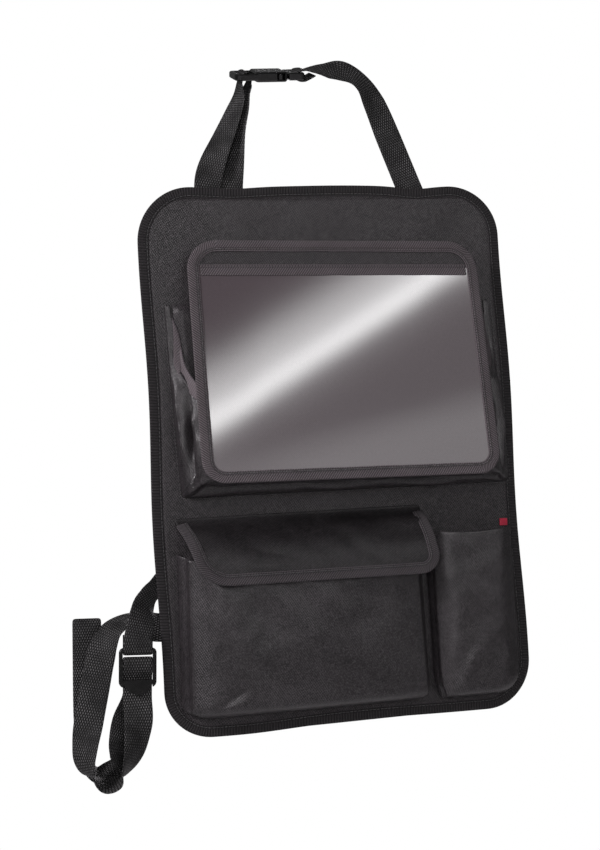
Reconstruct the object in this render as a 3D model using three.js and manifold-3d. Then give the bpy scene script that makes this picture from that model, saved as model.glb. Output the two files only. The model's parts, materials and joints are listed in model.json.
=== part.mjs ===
import * as THREE from 'three';
import { mergeVertices } from 'three/addons/utils/BufferGeometryUtils.js';
import Module from 'manifold-3d';

// Hanging organizer for the back of a car seat. Millimetres, X to the right, Y to the back, Z up.
// The origin is the centre of the panel's back face, which lies in the plane y = 0.

const kernel = await Module();
kernel.setup();

// Driving dimensions.
const panel = { width: 400, height: 571, thickness: 3, topRadius: 57, bottomRadius: 50 };
const tape = { leaf: 12, thickness: 0.8 };
const webbing = { width: 30, thickness: 1.5 };
const cloth = 1.2;
const film = 0.5;
const seamGap = 0.15;
const turnGap = 0.35;
const contactRadius = 60;

const sleeve = {
  thickness: 1.6,
  topRadius: 32,
  bottomRadius: 24,
  filmTop: 27,
  filmBulge: 5.5,
  filmRise: 60,
  bottomLeft: [-154, -28],
  bottomRight: [167, -33],
  topRight: [164, 221],
  topLeft: [-154, 226],
  bottomDepth: 44,
  topDepth: 14,
};

const tabletPocket = {
  topLeft: [-178, 161],
  bottomLeft: [-170, -40],
  bottomRight: [191, -41],
  topRight: [181.5, 159],
  attachHeight: 98,
  attachInset: 5,
  flange: 7,
  corner: 12,
  foldOut: 5.5,
  foldIn: 5.7,
  foldVariation: 0.22,
  sagBack: 5.5,
  sagDown: 13,
};

const cargoPocket = {
  top: -104,
  bottom: -266,
  base: [[-178, 84], [-182, 85]],
  front: [[-168, 73], [-172, 77]],
  depth: [25, 24],
  bulge: 5,
  cornerLeft: 20,
  cornerRight: 9,
  cornerHeight: 15,
  bottomRound: 15,
  wallRise: 7,
  mouthSag: 3,
  pleat: 3,
  columns: 9,
};

const sidePocket = {
  top: -90,
  bottom: -268,
  base: [[90, 189], [91, 189]],
  front: [[101, 182], [99, 181]],
  depth: [17, 15],
  bulge: 5,
  cornerLeft: 7,
  cornerRight: 18,
  cornerHeight: 30,
  bottomRound: 12,
  wallRise: 0,
  mouthSag: 3,
  pleat: 2,
  columns: 6,
};

const flap = {
  topLeft: [-181, 0],
  bottomLeft: [-158, 86],
  bottomRight: [96, 88],
  topRight: [87, 0],
  leftRadius: 37,
  rightRadius: 21,
  profile: [
    [-3.75, -59.5], [-3.75, -62.5], [-8, -69], [-19.5, -78.5], [-31, -93], [-38, -112], [-41, -133.5],
  ],
};

const buckle = {
  origin: [-91, 0, 405.5],
  pitch: 2,
  tilt: 24,
  halfWidth: 19,
  loopThickness: 7,
  bodyThickness: 10.5,
  slotHalfWidth: 15.8,
  endBar: 4.5,
  barStart: 11,
  barEnd: 15,
  barThickness: 4,
  bodyStart: 22,
  cavityStart: 27,
  mouth: 57,
  windowStart: 45,
  windowEnd: 54,
  plugStart: 58.3,
  plugSlotStart: 65,
  plugSlotEnd: 72,
  plugEnd: 76,
};

const lock = {
  origin: [-226, -7, -228.5],
  lean: 3.2,
  halfWidth: 19,
  rail: 3.6,
  height: 40,
  depth: 5,
  topBar: 36,
  middleBar: 26,
  barRadius: 2,
  bottomBar: [3, 8],
};

const colours = {
  fabric: 0x2b2b2d,
  tape: 0x343436,
  webbing: 0x232325,
  plastic: 0x1b1b1d,
  film: 0x6e6669,
  red: 0xa5182c,
};

const point = (x, y, z) => new THREE.Vector3(x, y, z);
const mix = (a, b, t) => a + (b - a) * t;
const between = (p, q, t) => p.clone().lerp(q, t);
const smooth = (t) => {
  const s = THREE.MathUtils.clamp(t, 0, 1);
  return s * s * (3 - 2 * s);
};

// Closed solid from a vertex list and triangle indices, turned so that its faces point out.
function solidFrom(vertices, indices) {
  let volume = 0;
  for (let i = 0; i < indices.length; i += 3) {
    const [a, b, c] = [vertices[indices[i]], vertices[indices[i + 1]], vertices[indices[i + 2]]];
    volume += a.dot(b.clone().cross(c));
  }
  const faces = volume < 0 ? indices.slice().reverse() : indices;
  const geometry = new THREE.BufferGeometry();
  geometry.setAttribute('position', new THREE.Float32BufferAttribute(
    vertices.flatMap((vertex) => [vertex.x, vertex.y, vertex.z]),
    3,
  ));
  geometry.setIndex(faces);
  geometry.computeVertexNormals();
  return geometry;
}

// Skin over a row of equal closed sections; the ends are capped unless the row closes on itself.
function loft(sections, profile, closed) {
  const count = profile.length;
  const indices = [];
  const spans = closed ? sections.length : sections.length - 1;
  for (let i = 0; i < spans; i += 1) {
    const here = i * count;
    const there = ((i + 1) % sections.length) * count;
    for (let j = 0; j < count; j += 1) {
      const k = (j + 1) % count;
      indices.push(here + j, here + k, there + k, here + j, there + k, there + j);
    }
  }
  if (!closed) {
    const flat = profile.map(([a, b]) => new THREE.Vector2(a, b));
    const turned = THREE.ShapeUtils.isClockWise(flat) ? -1 : 1;
    const last = (sections.length - 1) * count;
    for (const face of THREE.ShapeUtils.triangulateShape(flat, [])) {
      const [a, b, c] = turned > 0 ? face : [face[0], face[2], face[1]];
      indices.push(a, c, b, last + a, last + b, last + c);
    }
  }
  return solidFrom(sections.flat(), indices);
}

// Sheet of cloth through a grid of points, given a thickness along its own normals.
function clothSheet(grid, thickness) {
  const rows = grid.length;
  const columns = grid[0].length;
  const front = [];
  const back = [];
  for (let i = 0; i < rows; i += 1) {
    for (let j = 0; j < columns; j += 1) {
      const down = grid[Math.min(i + 1, rows - 1)][j].clone().sub(grid[Math.max(i - 1, 0)][j]);
      const across = grid[i][Math.min(j + 1, columns - 1)].clone().sub(grid[i][Math.max(j - 1, 0)]);
      const normal = down.cross(across).normalize().multiplyScalar(thickness / 2);
      front.push(grid[i][j].clone().add(normal));
      back.push(grid[i][j].clone().sub(normal));
    }
  }
  const offset = rows * columns;
  const indices = [];
  const quad = (a, b, c, d) => indices.push(a, b, c, a, c, d);
  for (let i = 0; i < rows - 1; i += 1) {
    for (let j = 0; j < columns - 1; j += 1) {
      const a = i * columns + j;
      quad(a, a + columns, a + columns + 1, a + 1);
      quad(offset + a, offset + a + 1, offset + a + columns + 1, offset + a + columns);
    }
  }
  const rim = [];
  for (let j = 0; j < columns; j += 1) rim.push(j);
  for (let i = 1; i < rows; i += 1) rim.push(i * columns + columns - 1);
  for (let j = columns - 2; j >= 0; j -= 1) rim.push((rows - 1) * columns + j);
  for (let i = rows - 2; i > 0; i -= 1) rim.push(i * columns);
  rim.forEach((a, index) => {
    const b = rim[(index + 1) % rim.length];
    quad(a, b, offset + b, offset + a);
  });
  return solidFrom([...front, ...back], indices);
}

// Polygon with rounded corners as points that carry their inward direction.
function roundedPolygon(corners, radii, arcSteps, edgeLength) {
  const arcs = corners.map((corner, i) => {
    const here = new THREE.Vector2(...corner);
    const before = new THREE.Vector2(...corners[(i + corners.length - 1) % corners.length]);
    const after = new THREE.Vector2(...corners[(i + 1) % corners.length]);
    const arriving = here.clone().sub(before).normalize();
    const leaving = after.clone().sub(here).normalize();
    const turn = Math.acos(THREE.MathUtils.clamp(arriving.dot(leaving), -1, 1));
    const start = here.clone().addScaledVector(arriving, -radii[i] * Math.tan(turn / 2));
    const inward = new THREE.Vector2(-arriving.y, arriving.x);
    const centre = start.clone().addScaledVector(inward, radii[i]);
    const points = [];
    for (let k = 0; k <= arcSteps; k += 1) {
      const towardCentre = inward.clone().rotateAround(new THREE.Vector2(), turn * k / arcSteps);
      const position = centre.clone().addScaledVector(towardCentre, -radii[i]);
      points.push({ x: position.x, z: position.y, inX: towardCentre.x, inZ: towardCentre.y });
    }
    return points;
  });
  return arcs.flatMap((arc, i) => {
    const last = arc[arc.length - 1];
    const next = arcs[(i + 1) % arcs.length][0];
    const steps = Math.max(1, Math.round(Math.hypot(next.x - last.x, next.z - last.z) / edgeLength));
    const edge = [];
    for (let k = 1; k < steps; k += 1) {
      edge.push({
        x: mix(last.x, next.x, k / steps),
        z: mix(last.z, next.z, k / steps),
        inX: last.inX,
        inZ: last.inZ,
      });
    }
    return [...arc, ...edge];
  });
}

const insetOutline = (outline, inset) => outline.map((p) => ({
  x: p.x + p.inX * inset,
  z: p.z + p.inZ * inset,
  inX: p.inX,
  inZ: p.inZ,
}));

// Lowest and highest x of an outline at one height.
function spanAt(outline, height) {
  const hits = [];
  outline.forEach((p, i) => {
    const q = outline[(i + 1) % outline.length];
    const low = Math.min(p.z, q.z) - 1e-6;
    const high = Math.max(p.z, q.z) + 1e-6;
    if (height < low || height > high) return;
    const rise = q.z - p.z;
    if (Math.abs(rise) < 1e-6) hits.push(p.x, q.x);
    else hits.push(mix(p.x, q.x, (height - p.z) / rise));
  });
  return [Math.min(...hits), Math.max(...hits)];
}

// Folded tape around an edge: leaf depth runs inward, the other axis runs through the thickness.
function channel(near, far) {
  const { leaf, thickness } = tape;
  return [
    [leaf, near - thickness],
    [0, near - thickness],
    [0, far + thickness],
    [leaf, far + thickness],
    [leaf, far],
    [thickness, far],
    [thickness, near],
    [leaf, near],
  ];
}

// Webbing along a smooth path; each key holds the centre and the direction across the width.
function ribbonSections(keys, samples) {
  const centre = new THREE.CatmullRomCurve3(keys.map((key) => point(...key.slice(0, 3))), false);
  const across = new THREE.CatmullRomCurve3(keys.map((key) => point(...key.slice(3, 6))), false);
  const sections = [];
  for (let i = 0; i <= samples; i += 1) {
    const t = i / samples;
    const position = centre.getPoint(t);
    const tangent = centre.getTangent(t);
    const side = across.getPoint(t);
    side.addScaledVector(tangent, -side.dot(tangent)).normalize();
    const normal = tangent.clone().cross(side).normalize();
    const reach = side.multiplyScalar(webbing.width / 2);
    const lift = normal.multiplyScalar(webbing.thickness / 2);
    sections.push([[-1, -1], [1, -1], [1, 1], [-1, 1]].map(([a, b]) => position.clone()
      .addScaledVector(reach, a)
      .addScaledVector(lift, b)));
  }
  return sections;
}

function ribbon(keys, samples) {
  return loft(ribbonSections(keys, samples), [[-1, -1], [1, -1], [1, 1], [-1, 1]], false);
}

function toManifold(geometry) {
  const bare = geometry.clone();
  for (const name of Object.keys(bare.attributes)) {
    if (name !== 'position') bare.deleteAttribute(name);
  }
  const merged = mergeVertices(bare, 1e-4);
  const mesh = new kernel.Mesh({
    numProp: 3,
    vertProperties: new Float32Array(merged.attributes.position.array),
    triVerts: new Uint32Array(merged.index.array),
  });
  mesh.merge();
  return new kernel.Manifold(mesh);
}

function fromManifold(solid) {
  const mesh = solid.getMesh();
  const geometry = new THREE.BufferGeometry();
  geometry.setAttribute('position', new THREE.Float32BufferAttribute(mesh.vertProperties, 3));
  geometry.setIndex([...mesh.triVerts]);
  geometry.computeVertexNormals();
  return geometry;
}

// Block between two corners, in a sub-part's own frame.
function block(x0, x1, y0, y1, z0, z1) {
  const geometry = new THREE.BoxGeometry(x1 - x0, y1 - y0, z1 - z0);
  geometry.translate((x0 + x1) / 2, (y0 + y1) / 2, (z0 + z1) / 2);
  return geometry;
}

// Plate with a chamfered rim whose outline lies in x and y, centred on z.
function mouldedPlate(corners, radii, thickness, rim) {
  const outline = roundedPolygon(corners, radii, 5, 1000);
  const shape = new THREE.Shape(outline.map((p) => new THREE.Vector2(
    p.x + p.inX * rim,
    p.z + p.inZ * rim,
  )));
  const geometry = new THREE.ExtrudeGeometry(shape, {
    depth: thickness - 2 * rim,
    bevelEnabled: true,
    bevelThickness: rim,
    bevelSize: rim,
    bevelSegments: 1,
    curveSegments: 1,
  });
  geometry.translate(0, 0, -thickness / 2 + rim);
  return geometry;
}

const root = new THREE.Group();

function add(name, geometry, colour, roughness, parent = root) {
  const material = new THREE.MeshStandardMaterial({ color: colour, roughness, metalness: 0 });
  const mesh = new THREE.Mesh(geometry, material);
  mesh.name = name;
  parent.add(mesh);
  return mesh;
}

// Panel outline: a rounded rectangle whose edge dips where the hanging straps pull on it.
function panelOutline() {
  const right = panel.width / 2;
  const top = panel.height / 2;
  const outline = roundedPolygon(
    [[-right, top], [-right, -top], [right, -top], [right, top]],
    [panel.topRadius, panel.bottomRadius, panel.bottomRadius, panel.topRadius],
    8,
    42,
  );
  const bell = (value, centre, width) => Math.exp(-(((value - centre) / width) ** 2));
  return outline.map((p) => {
    const upper = 1.2 * bell(p.x, 20, 60) - 2.2 * bell(p.x, -98, 30) - 3.2 * bell(p.x, 104, 24);
    const lower = 2.2 * bell(p.x, 10, 90) - 1.5 * bell(p.x, -110, 50);
    const sides = 1.6 * Math.sin(p.z / 45) * (1 - Math.abs(p.inZ));
    const lift = (p.z > 0 ? upper : lower) * Math.abs(p.inZ);
    return { x: p.x + sides, z: p.z + lift, inX: p.inX, inZ: p.inZ };
  });
}

const ring = (outline, inset, y) => insetOutline(outline, inset).map((p) => point(p.x, y, p.z));

// Padded board of the panel: full thickness inside, pressed thin under the binding. Its back face
// keeps one flat triangle about the origin, which is where it rests on the seat.
function panelBoard(outline) {
  const { leaf, thickness } = tape;
  const steps = [
    [leaf, 0],
    [leaf, -thickness],
    [thickness, -thickness],
    [thickness, thickness - panel.thickness],
    [leaf, thickness - panel.thickness],
    [leaf, -panel.thickness],
  ];
  const rings = steps.map(([inset, y]) => ring(outline, inset, y));
  const count = outline.length;
  const vertices = rings.flat();
  const indices = [];
  for (let i = 0; i < rings.length - 1; i += 1) {
    for (let j = 0; j < count; j += 1) {
      const k = (j + 1) % count;
      const here = i * count;
      const there = here + count;
      indices.push(here + j, here + k, there + k, here + j, there + k, there + j);
    }
  }
  const contact = [90, 210, 330].map((angle) => {
    const turn = THREE.MathUtils.degToRad(angle);
    return point(contactRadius * Math.cos(turn), 0, contactRadius * Math.sin(turn));
  });
  const start = vertices.length;
  vertices.push(...contact);
  const flat = (p) => new THREE.Vector2(p.x, p.z);
  const backFaces = THREE.ShapeUtils.triangulateShape(rings[0].map(flat), [contact.map(flat)]);
  const backIndex = (value) => (value < count ? value : start + value - count);
  for (const [a, b, c] of backFaces) indices.push(backIndex(a), backIndex(c), backIndex(b));
  indices.push(start, start + 2, start + 1);
  const last = (rings.length - 1) * count;
  const frontFaces = THREE.ShapeUtils.triangulateShape(rings[rings.length - 1].map(flat), []);
  for (const [a, b, c] of frontFaces) indices.push(last + a, last + b, last + c);
  return solidFrom(vertices, indices);
}

const boardOutline = panelOutline();
add('main_panel', panelBoard(boardOutline), colours.fabric, 0.85);

const boardChannel = channel(tape.thickness - panel.thickness, -tape.thickness);
add(
  'panel_binding',
  loft(
    boardOutline.map((p) => boardChannel.map(([inset, y]) => point(
      p.x + p.inX * inset,
      y,
      p.z + p.inZ * inset,
    ))),
    boardChannel,
    true,
  ),
  colours.tape,
  0.8,
);

// The sleeve is built in its own plane: across, depth toward the front, and height.
const sleeveWidth = sleeve.topRight[0] - sleeve.topLeft[0];
const sleeveHeight = sleeve.topLeft[1] - sleeve.bottomLeft[1];
const sleeveLean = Math.atan2(sleeve.bottomDepth - sleeve.topDepth, sleeveHeight);

function onSleeve(across, depth, height) {
  const { bottomLeft, bottomRight, topLeft, topRight } = sleeve;
  const u = across / sleeveWidth;
  const v = height / sleeveHeight;
  const x = mix(mix(bottomLeft[0], bottomRight[0], u), mix(topLeft[0], topRight[0], u), v);
  const z = mix(mix(bottomLeft[1], bottomRight[1], u), mix(topLeft[1], topRight[1], u), v);
  const y = -mix(sleeve.bottomDepth, sleeve.topDepth, v);
  return point(x, y - depth * Math.cos(sleeveLean), z + depth * Math.sin(sleeveLean));
}

const sleeveOutline = roundedPolygon(
  [[0, sleeveHeight], [0, 0], [sleeveWidth, 0], [sleeveWidth, sleeveHeight]],
  [sleeve.topRadius, sleeve.bottomRadius, sleeve.bottomRadius, sleeve.topRadius],
  6,
  55,
);

const edgeInset = tape.thickness + seamGap;
const filmRim = sleeve.thickness + seamGap;
const sleeveFront = filmRim + film + seamGap;

function sleeveBack() {
  const rim = insetOutline(sleeveOutline, edgeInset);
  const flat = rim.map((p) => new THREE.Vector2(p.x, p.z));
  const near = rim.map((p) => onSleeve(p.x, 0, p.z));
  const far = rim.map((p) => onSleeve(p.x, sleeve.thickness, p.z));
  const count = rim.length;
  const indices = [];
  rim.forEach((p, j) => {
    const k = (j + 1) % count;
    indices.push(j, k, count + k, j, count + k, count + j);
  });
  for (const [a, b, c] of THREE.ShapeUtils.triangulateShape(flat, [])) {
    indices.push(a, c, b, count + a, count + b, count + c);
  }
  return solidFrom([...near, ...far], indices);
}

add('sleeve_back', sleeveBack(), colours.fabric, 0.85);

const sleeveChannel = channel(-seamGap, sleeveFront);
add(
  'sleeve_binding',
  loft(
    sleeveOutline.map((p) => sleeveChannel.map(([inset, depth]) => onSleeve(
      p.x + p.inX * inset,
      depth,
      p.z + p.inZ * inset,
    ))),
    sleeveChannel,
    true,
  ),
  colours.tape,
  0.8,
);

// Clear front of the sleeve: flat in the binding, bowed forward inside it, open along its top.
const filmTop = sleeveHeight - sleeve.filmTop;
const filmClear = tape.leaf + 1;

function filmDepth(across, height) {
  const side = Math.min(across, sleeveWidth - across) - filmClear;
  const rise = smooth(side / sleeve.filmRise) * smooth((height - filmClear) / sleeve.filmRise);
  return filmRim + film / 2 + sleeve.filmBulge * rise;
}

const filmColumns = [0, 0.04, 0.08, 0.12, 0.16, 0.2, 0.25, 0.5, 0.75, 0.8, 0.84, 0.88, 0.92, 0.96, 1];
const filmRows = [0, 0.055, 0.11, 0.16, 0.22, 0.28, 0.34, 0.55, 0.78, 1];

function filmGrid() {
  const rim = insetOutline(sleeveOutline, edgeInset);
  const low = edgeInset;
  return filmRows.map((row) => {
    const height = mix(low, filmTop, row);
    const [left, right] = spanAt(rim, height);
    return filmColumns.map((column) => {
      const across = mix(left, right, column);
      return onSleeve(across, filmDepth(across, height), height);
    });
  });
}

add('sleeve_window', clothSheet(filmGrid(), film), colours.film, 0.12);

// Tape along the clear front's top edge: a leaf in front and a lip over the film's edge.
function windowTape() {
  const face = film / 2 + seamGap;
  const { leaf, thickness } = tape;
  const section = [
    [leaf, face + thickness],
    [leaf, face],
    [thickness, face],
    [thickness, -film / 2],
    [0, -film / 2],
    [0, face + thickness],
  ];
  const left = filmClear + turnGap;
  const right = sleeveWidth - left;
  const columns = filmColumns.map((column) => mix(edgeInset, sleeveWidth - edgeInset, column));
  const path = [left, ...columns.filter((across) => across > left && across < right), right];
  const sections = path.map((across) => section.map(([inset, depth]) => onSleeve(
    across,
    filmDepth(across, filmTop) + depth,
    filmTop + edgeInset - inset,
  )));
  return loft(sections, section, false);
}

add('window_top_binding', windowTape(), colours.tape, 0.8);

// Backing of the tablet pocket, sewn flat on the panel.
const clothFace = -panel.thickness - seamGap - cloth / 2;

function pocketBacking() {
  const inset = tabletPocket.flange + 2;
  const corners = [
    [tabletPocket.topLeft[0] + inset, tabletPocket.topLeft[1]],
    [tabletPocket.bottomLeft[0] + inset, tabletPocket.bottomLeft[1] + inset],
    [tabletPocket.bottomRight[0] - inset, tabletPocket.bottomRight[1] + inset],
    [tabletPocket.topRight[0] - inset, tabletPocket.topRight[1]],
  ];
  const shape = new THREE.Shape(corners.map(([x, z]) => new THREE.Vector2(x, z)));
  const geometry = new THREE.ExtrudeGeometry(shape, { depth: cloth, bevelEnabled: false });
  geometry.rotateX(Math.PI / 2);
  geometry.translate(0, clothFace + cloth / 2, 0);
  return geometry;
}

add('tablet_pocket_backing', pocketBacking(), colours.fabric, 0.85);

// Bellows of the tablet pocket: a folded strip from the panel to the back of the sleeve, led down
// the left side, along the bottom and up the right side.
function bellowsStations() {
  const attach = sleeveOutline.map((p) => ({
    x: p.x + p.inX * tabletPocket.attachInset,
    z: p.z + p.inZ * tabletPocket.attachInset,
    inX: p.inX,
    inZ: p.inZ,
  }));
  const inset = tabletPocket.attachInset;
  const { topLeft, bottomLeft, bottomRight, topRight, corner } = tabletPocket;
  const bottomRadius = sleeve.bottomRadius;
  const stations = [];
  const put = (base, inward, across, height, fold, sag) => stations.push({
    base: point(base[0], clothFace, base[1]),
    inward: point(inward[0], 0, inward[1]).normalize(),
    across,
    height,
    towardX: inward[0],
    towardZ: inward[1],
    fold,
    sag,
  });
  const sideFold = [0, 0, 0.65, 1, 1, 0.95, 0.75, 0.5, 0.35];
  const sideSag = [1, 1, 0.35, 0.05, 0, 0, 0, 0, 0];
  const sideSteps = sideFold.length - 1;
  for (let i = 0; i <= sideSteps; i += 1) {
    const t = i / sideSteps;
    const x = mix(topLeft[0], bottomLeft[0], t);
    const z = mix(topLeft[1], bottomLeft[1] + corner, t);
    put([x, z], [1, 0], inset, mix(tabletPocket.attachHeight, bottomRadius, t), sideFold[i], sideSag[i]);
  }
  const isCorner = (p) => Math.max(p.x, p.z) < bottomRadius && Math.min(p.inX, p.inZ) > 0.05;
  const attachCorner = attach.filter(isCorner);
  attachCorner.forEach((p, i) => {
    const t = (i + 1) / (attachCorner.length + 1);
    const angle = t * Math.PI / 2;
    const x = bottomLeft[0] + corner * (1 - Math.cos(angle));
    const z = bottomLeft[1] + corner * (1 - Math.sin(angle));
    put([x, z], [Math.cos(angle), Math.sin(angle)], p.x, p.z, 0.3, 0);
  });
  const bottomSteps = 9;
  for (let i = 0; i <= bottomSteps; i += 1) {
    const t = i / bottomSteps;
    const x = mix(bottomLeft[0] + corner, bottomRight[0] - corner, t);
    const z = mix(bottomLeft[1], bottomRight[1], t);
    const across = mix(bottomRadius, sleeveWidth - bottomRadius, t);
    put([x, z], [0, 1], across, inset, 0.45 + 0.12 * Math.sin(t * 19), 0);
  }
  attachCorner.slice().reverse().forEach((p, i) => {
    const t = (i + 1) / (attachCorner.length + 1);
    const angle = t * Math.PI / 2;
    const x = bottomRight[0] - corner * (1 - Math.sin(angle));
    const z = bottomRight[1] + corner * (1 - Math.cos(angle));
    put([x, z], [-Math.sin(angle), Math.cos(angle)], sleeveWidth - p.x, p.z, 0.3, 0);
  });
  for (let i = sideSteps; i >= 0; i -= 1) {
    const t = i / sideSteps;
    const x = mix(topRight[0], bottomRight[0], t);
    const z = mix(topRight[1], bottomRight[1] + corner, t);
    const height = mix(tabletPocket.attachHeight, bottomRadius, t);
    put([x, z], [-1, 0], sleeveWidth - inset, height, sideFold[i], sideSag[i]);
  }
  return stations;
}

const attachDepth = -seamGap - tape.thickness - turnGap - cloth / 2;
const foldPattern = [
  [0, 0], [0.13, 0.45], [0.3, 1], [0.42, 0], [0.52, -1.5], [0.64, -0.4], [0.76, 0.35], [0.9, 0.15], [1, 0],
];

function bellowsRow(station, index) {
  const { base, inward, fold, sag } = station;
  const { foldOut, foldIn, foldVariation, sagBack, sagDown } = tabletPocket;
  const attach = onSleeve(station.across, attachDepth, station.height);
  const flange = onSleeve(
    station.across + station.towardX * tabletPocket.flange,
    attachDepth,
    station.height + station.towardZ * tabletPocket.flange,
  );
  const run = attach.clone().sub(base).normalize();
  const outward = inward.clone().negate();
  outward.addScaledVector(run, -outward.dot(run)).normalize();
  const row = [base.clone().addScaledVector(inward, tabletPocket.flange)];
  foldPattern.forEach(([along, offset]) => {
    const crease = 1 + foldVariation * Math.sin(index * 1.9 + along * 7);
    const reach = (offset > 0 ? foldOut : foldIn) * offset * fold * crease;
    const hang = Math.sin(Math.PI * along) * sag;
    const place = between(base, attach, along).addScaledVector(outward, reach);
    place.y += sagBack * hang;
    place.z -= sagDown * hang;
    place.y = Math.min(place.y, clothFace);
    row.push(place);
  });
  row.push(flange);
  return row;
}

const bellows = bellowsStations().map(bellowsRow);
add('tablet_gusset', clothSheet(bellows, cloth), colours.fabric, 0.85);

// Tape folded over the top edge of one side of the bellows, parallel to the cloth on both faces.
function bellowsTape(edge, below) {
  const near = cloth / 2 + 2 * turnGap;
  const far = near + tape.thickness;
  const covered = 0.5;
  const normals = edge.map((place, i) => {
    const across = edge[Math.min(i + 1, edge.length - 1)].clone().sub(edge[Math.max(i - 1, 0)]);
    return below[i].clone().sub(place).cross(across).normalize();
  });
  const sections = [];
  for (let i = 4; i < edge.length - 2; i += 1) {
    const drop = below[i].clone().sub(edge[i]);
    const reach = Math.min(covered, tape.leaf / drop.length());
    const low = edge[i].clone().addScaledVector(drop, reach);
    const crest = edge[i].clone().addScaledVector(drop.clone().normalize(), -turnGap);
    const cap = crest.clone().addScaledVector(drop.normalize(), -tape.thickness);
    const shift = (place, lift) => place.clone().addScaledVector(normals[i], lift);
    sections.push([
      shift(low, far),
      shift(cap, far),
      shift(cap, -far),
      shift(low, -far - 3 * turnGap),
      shift(low, -near - 3 * turnGap),
      shift(crest, -near),
      shift(crest, near),
      shift(low, near),
    ]);
  }
  return loft(sections, tapeProfile, false);
}

const tapeProfile = [[1, 2], [0, 2], [0, -2], [1, -2], [1, -1], [0.5, -1], [0.5, 1], [1, 1]];

add('gusset_binding_left', bellowsTape(bellows[0], bellows[1]), colours.tape, 0.8);
add(
  'gusset_binding_right',
  bellowsTape(bellows[bellows.length - 1], bellows[bellows.length - 2]),
  colours.tape,
  0.8,
);

// Pocket cut from one cloth: a bowed front, a pleated wall on each side and a rounded bottom.
function pocketRows(spec) {
  const upper = [0, 0.1, 0.25, 0.45, 0.65, 0.82, 0.91, 1];
  const straight = spec.top - spec.bottom - spec.bottomRound;
  const rows = upper.map((v) => ({ height: spec.top - v * straight, swell: 1, turn: 0 }));
  for (const angle of [22, 45, 66, 90]) {
    const turn = THREE.MathUtils.degToRad(angle);
    rows.push({
      height: spec.bottom + spec.bottomRound * (1 - Math.sin(turn)),
      swell: Math.cos(turn),
      turn: Math.sin(turn),
    });
  }
  return rows;
}

function frontDepth(spec, along, v) {
  const fullness = 0.4 + 0.6 * Math.sin(Math.PI * Math.min(1, v + 0.15));
  return mix(spec.depth[0], spec.depth[1], v) + spec.bulge * Math.sin(Math.PI * along) * fullness;
}

function pocketGrid(spec) {
  return pocketRows(spec).map((row) => {
    const v = (spec.top - row.height) / (spec.top - spec.bottom);
    const lowered = (spec.bottom + spec.cornerHeight - row.height) / spec.cornerHeight;
    const squeeze = Math.max(0, lowered, row.turn) ** 2;
    const rise = row.height === spec.top ? spec.wallRise : 0;
    const baseLeft = mix(spec.base[0][0], spec.base[1][0], v) + spec.cornerLeft * squeeze;
    const baseRight = mix(spec.base[0][1], spec.base[1][1], v) - spec.cornerRight * squeeze;
    const frontLeft = Math.max(mix(spec.front[0][0], spec.front[1][0], v), baseLeft + 6);
    const frontRight = Math.min(mix(spec.front[0][1], spec.front[1][1], v), baseRight - 4);
    const depth = mix(spec.depth[0], spec.depth[1], v) * row.swell;
    const place = (x, out, z) => point(x, clothFace - out, z);
    const line = [
      place(baseLeft + 6 * row.swell, 0, row.height + rise),
      place(baseLeft, 0, row.height + rise),
    ];
    const left = (t, pinch) => place(
      mix(baseLeft, frontLeft, t) + pinch * spec.pleat * row.swell,
      depth * t,
      row.height + rise * (1 - t),
    );
    line.push(left(0.3, -0.3), left(0.62, 0.9), left(0.9, -0.25));
    for (let i = 0; i <= spec.columns; i += 1) {
      const along = i / spec.columns;
      const out = frontDepth(spec, along, v) * row.swell;
      const sag = row.height === spec.top ? spec.mouthSag * Math.sin(Math.PI * along) : 0;
      line.push(place(mix(frontLeft, frontRight, along), out, row.height - sag));
    }
    const right = (t, pinch) => place(
      mix(baseRight, frontRight, t) - pinch * spec.pleat * row.swell,
      depth * t,
      row.height + rise * (1 - t),
    );
    line.push(right(0.9, -0.25), right(0.62, 0.9), right(0.3, -0.3));
    line.push(
      place(baseRight, 0, row.height + rise),
      place(baseRight - 5 * row.swell, 0, row.height + rise),
    );
    return line;
  });
}

add('cargo_pocket', clothSheet(pocketGrid(cargoPocket), cloth), colours.fabric, 0.85);
add('side_pocket', clothSheet(pocketGrid(sidePocket), cloth), colours.fabric, 0.85);

// Flap over the large pocket. It is drawn flat, as x and distance down from its seam, and then
// laid along a profile that falls forward from the panel.
const flapCurve = new THREE.CatmullRomCurve3(flap.profile.map(([y, z]) => point(0, y, z)));
const flapLength = Math.max(flap.bottomLeft[1], flap.bottomRight[1]);

function onFlap(x, distance, lift = 0) {
  const t = THREE.MathUtils.clamp(distance / flapLength, 0, 1);
  const place = flapCurve.getPointAt(t);
  const tangent = flapCurve.getTangentAt(t);
  return point(x, place.y + lift * tangent.z, place.z - lift * tangent.y);
}

const flapOutline = roundedPolygon(
  [
    [flap.topLeft[0], -flap.topLeft[1]],
    [flap.bottomLeft[0], -flap.bottomLeft[1]],
    [flap.bottomRight[0], -flap.bottomRight[1]],
    [flap.topRight[0], -flap.topRight[1]],
  ],
  [1, flap.leftRadius, flap.rightRadius, 1],
  7,
  12,
);

const flapRows = [0.02, 0.08, 0.15, 0.22, 0.29, 0.36, 0.43, 0.52, 0.62, 0.72, 0.82, 0.9, 0.96, 1];
const flapColumns = 10;

function flapGrid() {
  const rim = insetOutline(flapOutline, edgeInset + 0.1);
  const lowest = Math.max(flap.bottomLeft[1], flap.bottomRight[1]) - 3.2;
  return flapRows.map((row) => {
    const distance = row * lowest;
    const [left, right] = spanAt(rim, -distance);
    const line = [];
    for (let i = 0; i <= flapColumns; i += 1) {
      line.push(onFlap(mix(left, right, i / flapColumns), distance));
    }
    return line;
  });
}

add('flap', clothSheet(flapGrid(), cloth), colours.fabric, 0.85);

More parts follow.
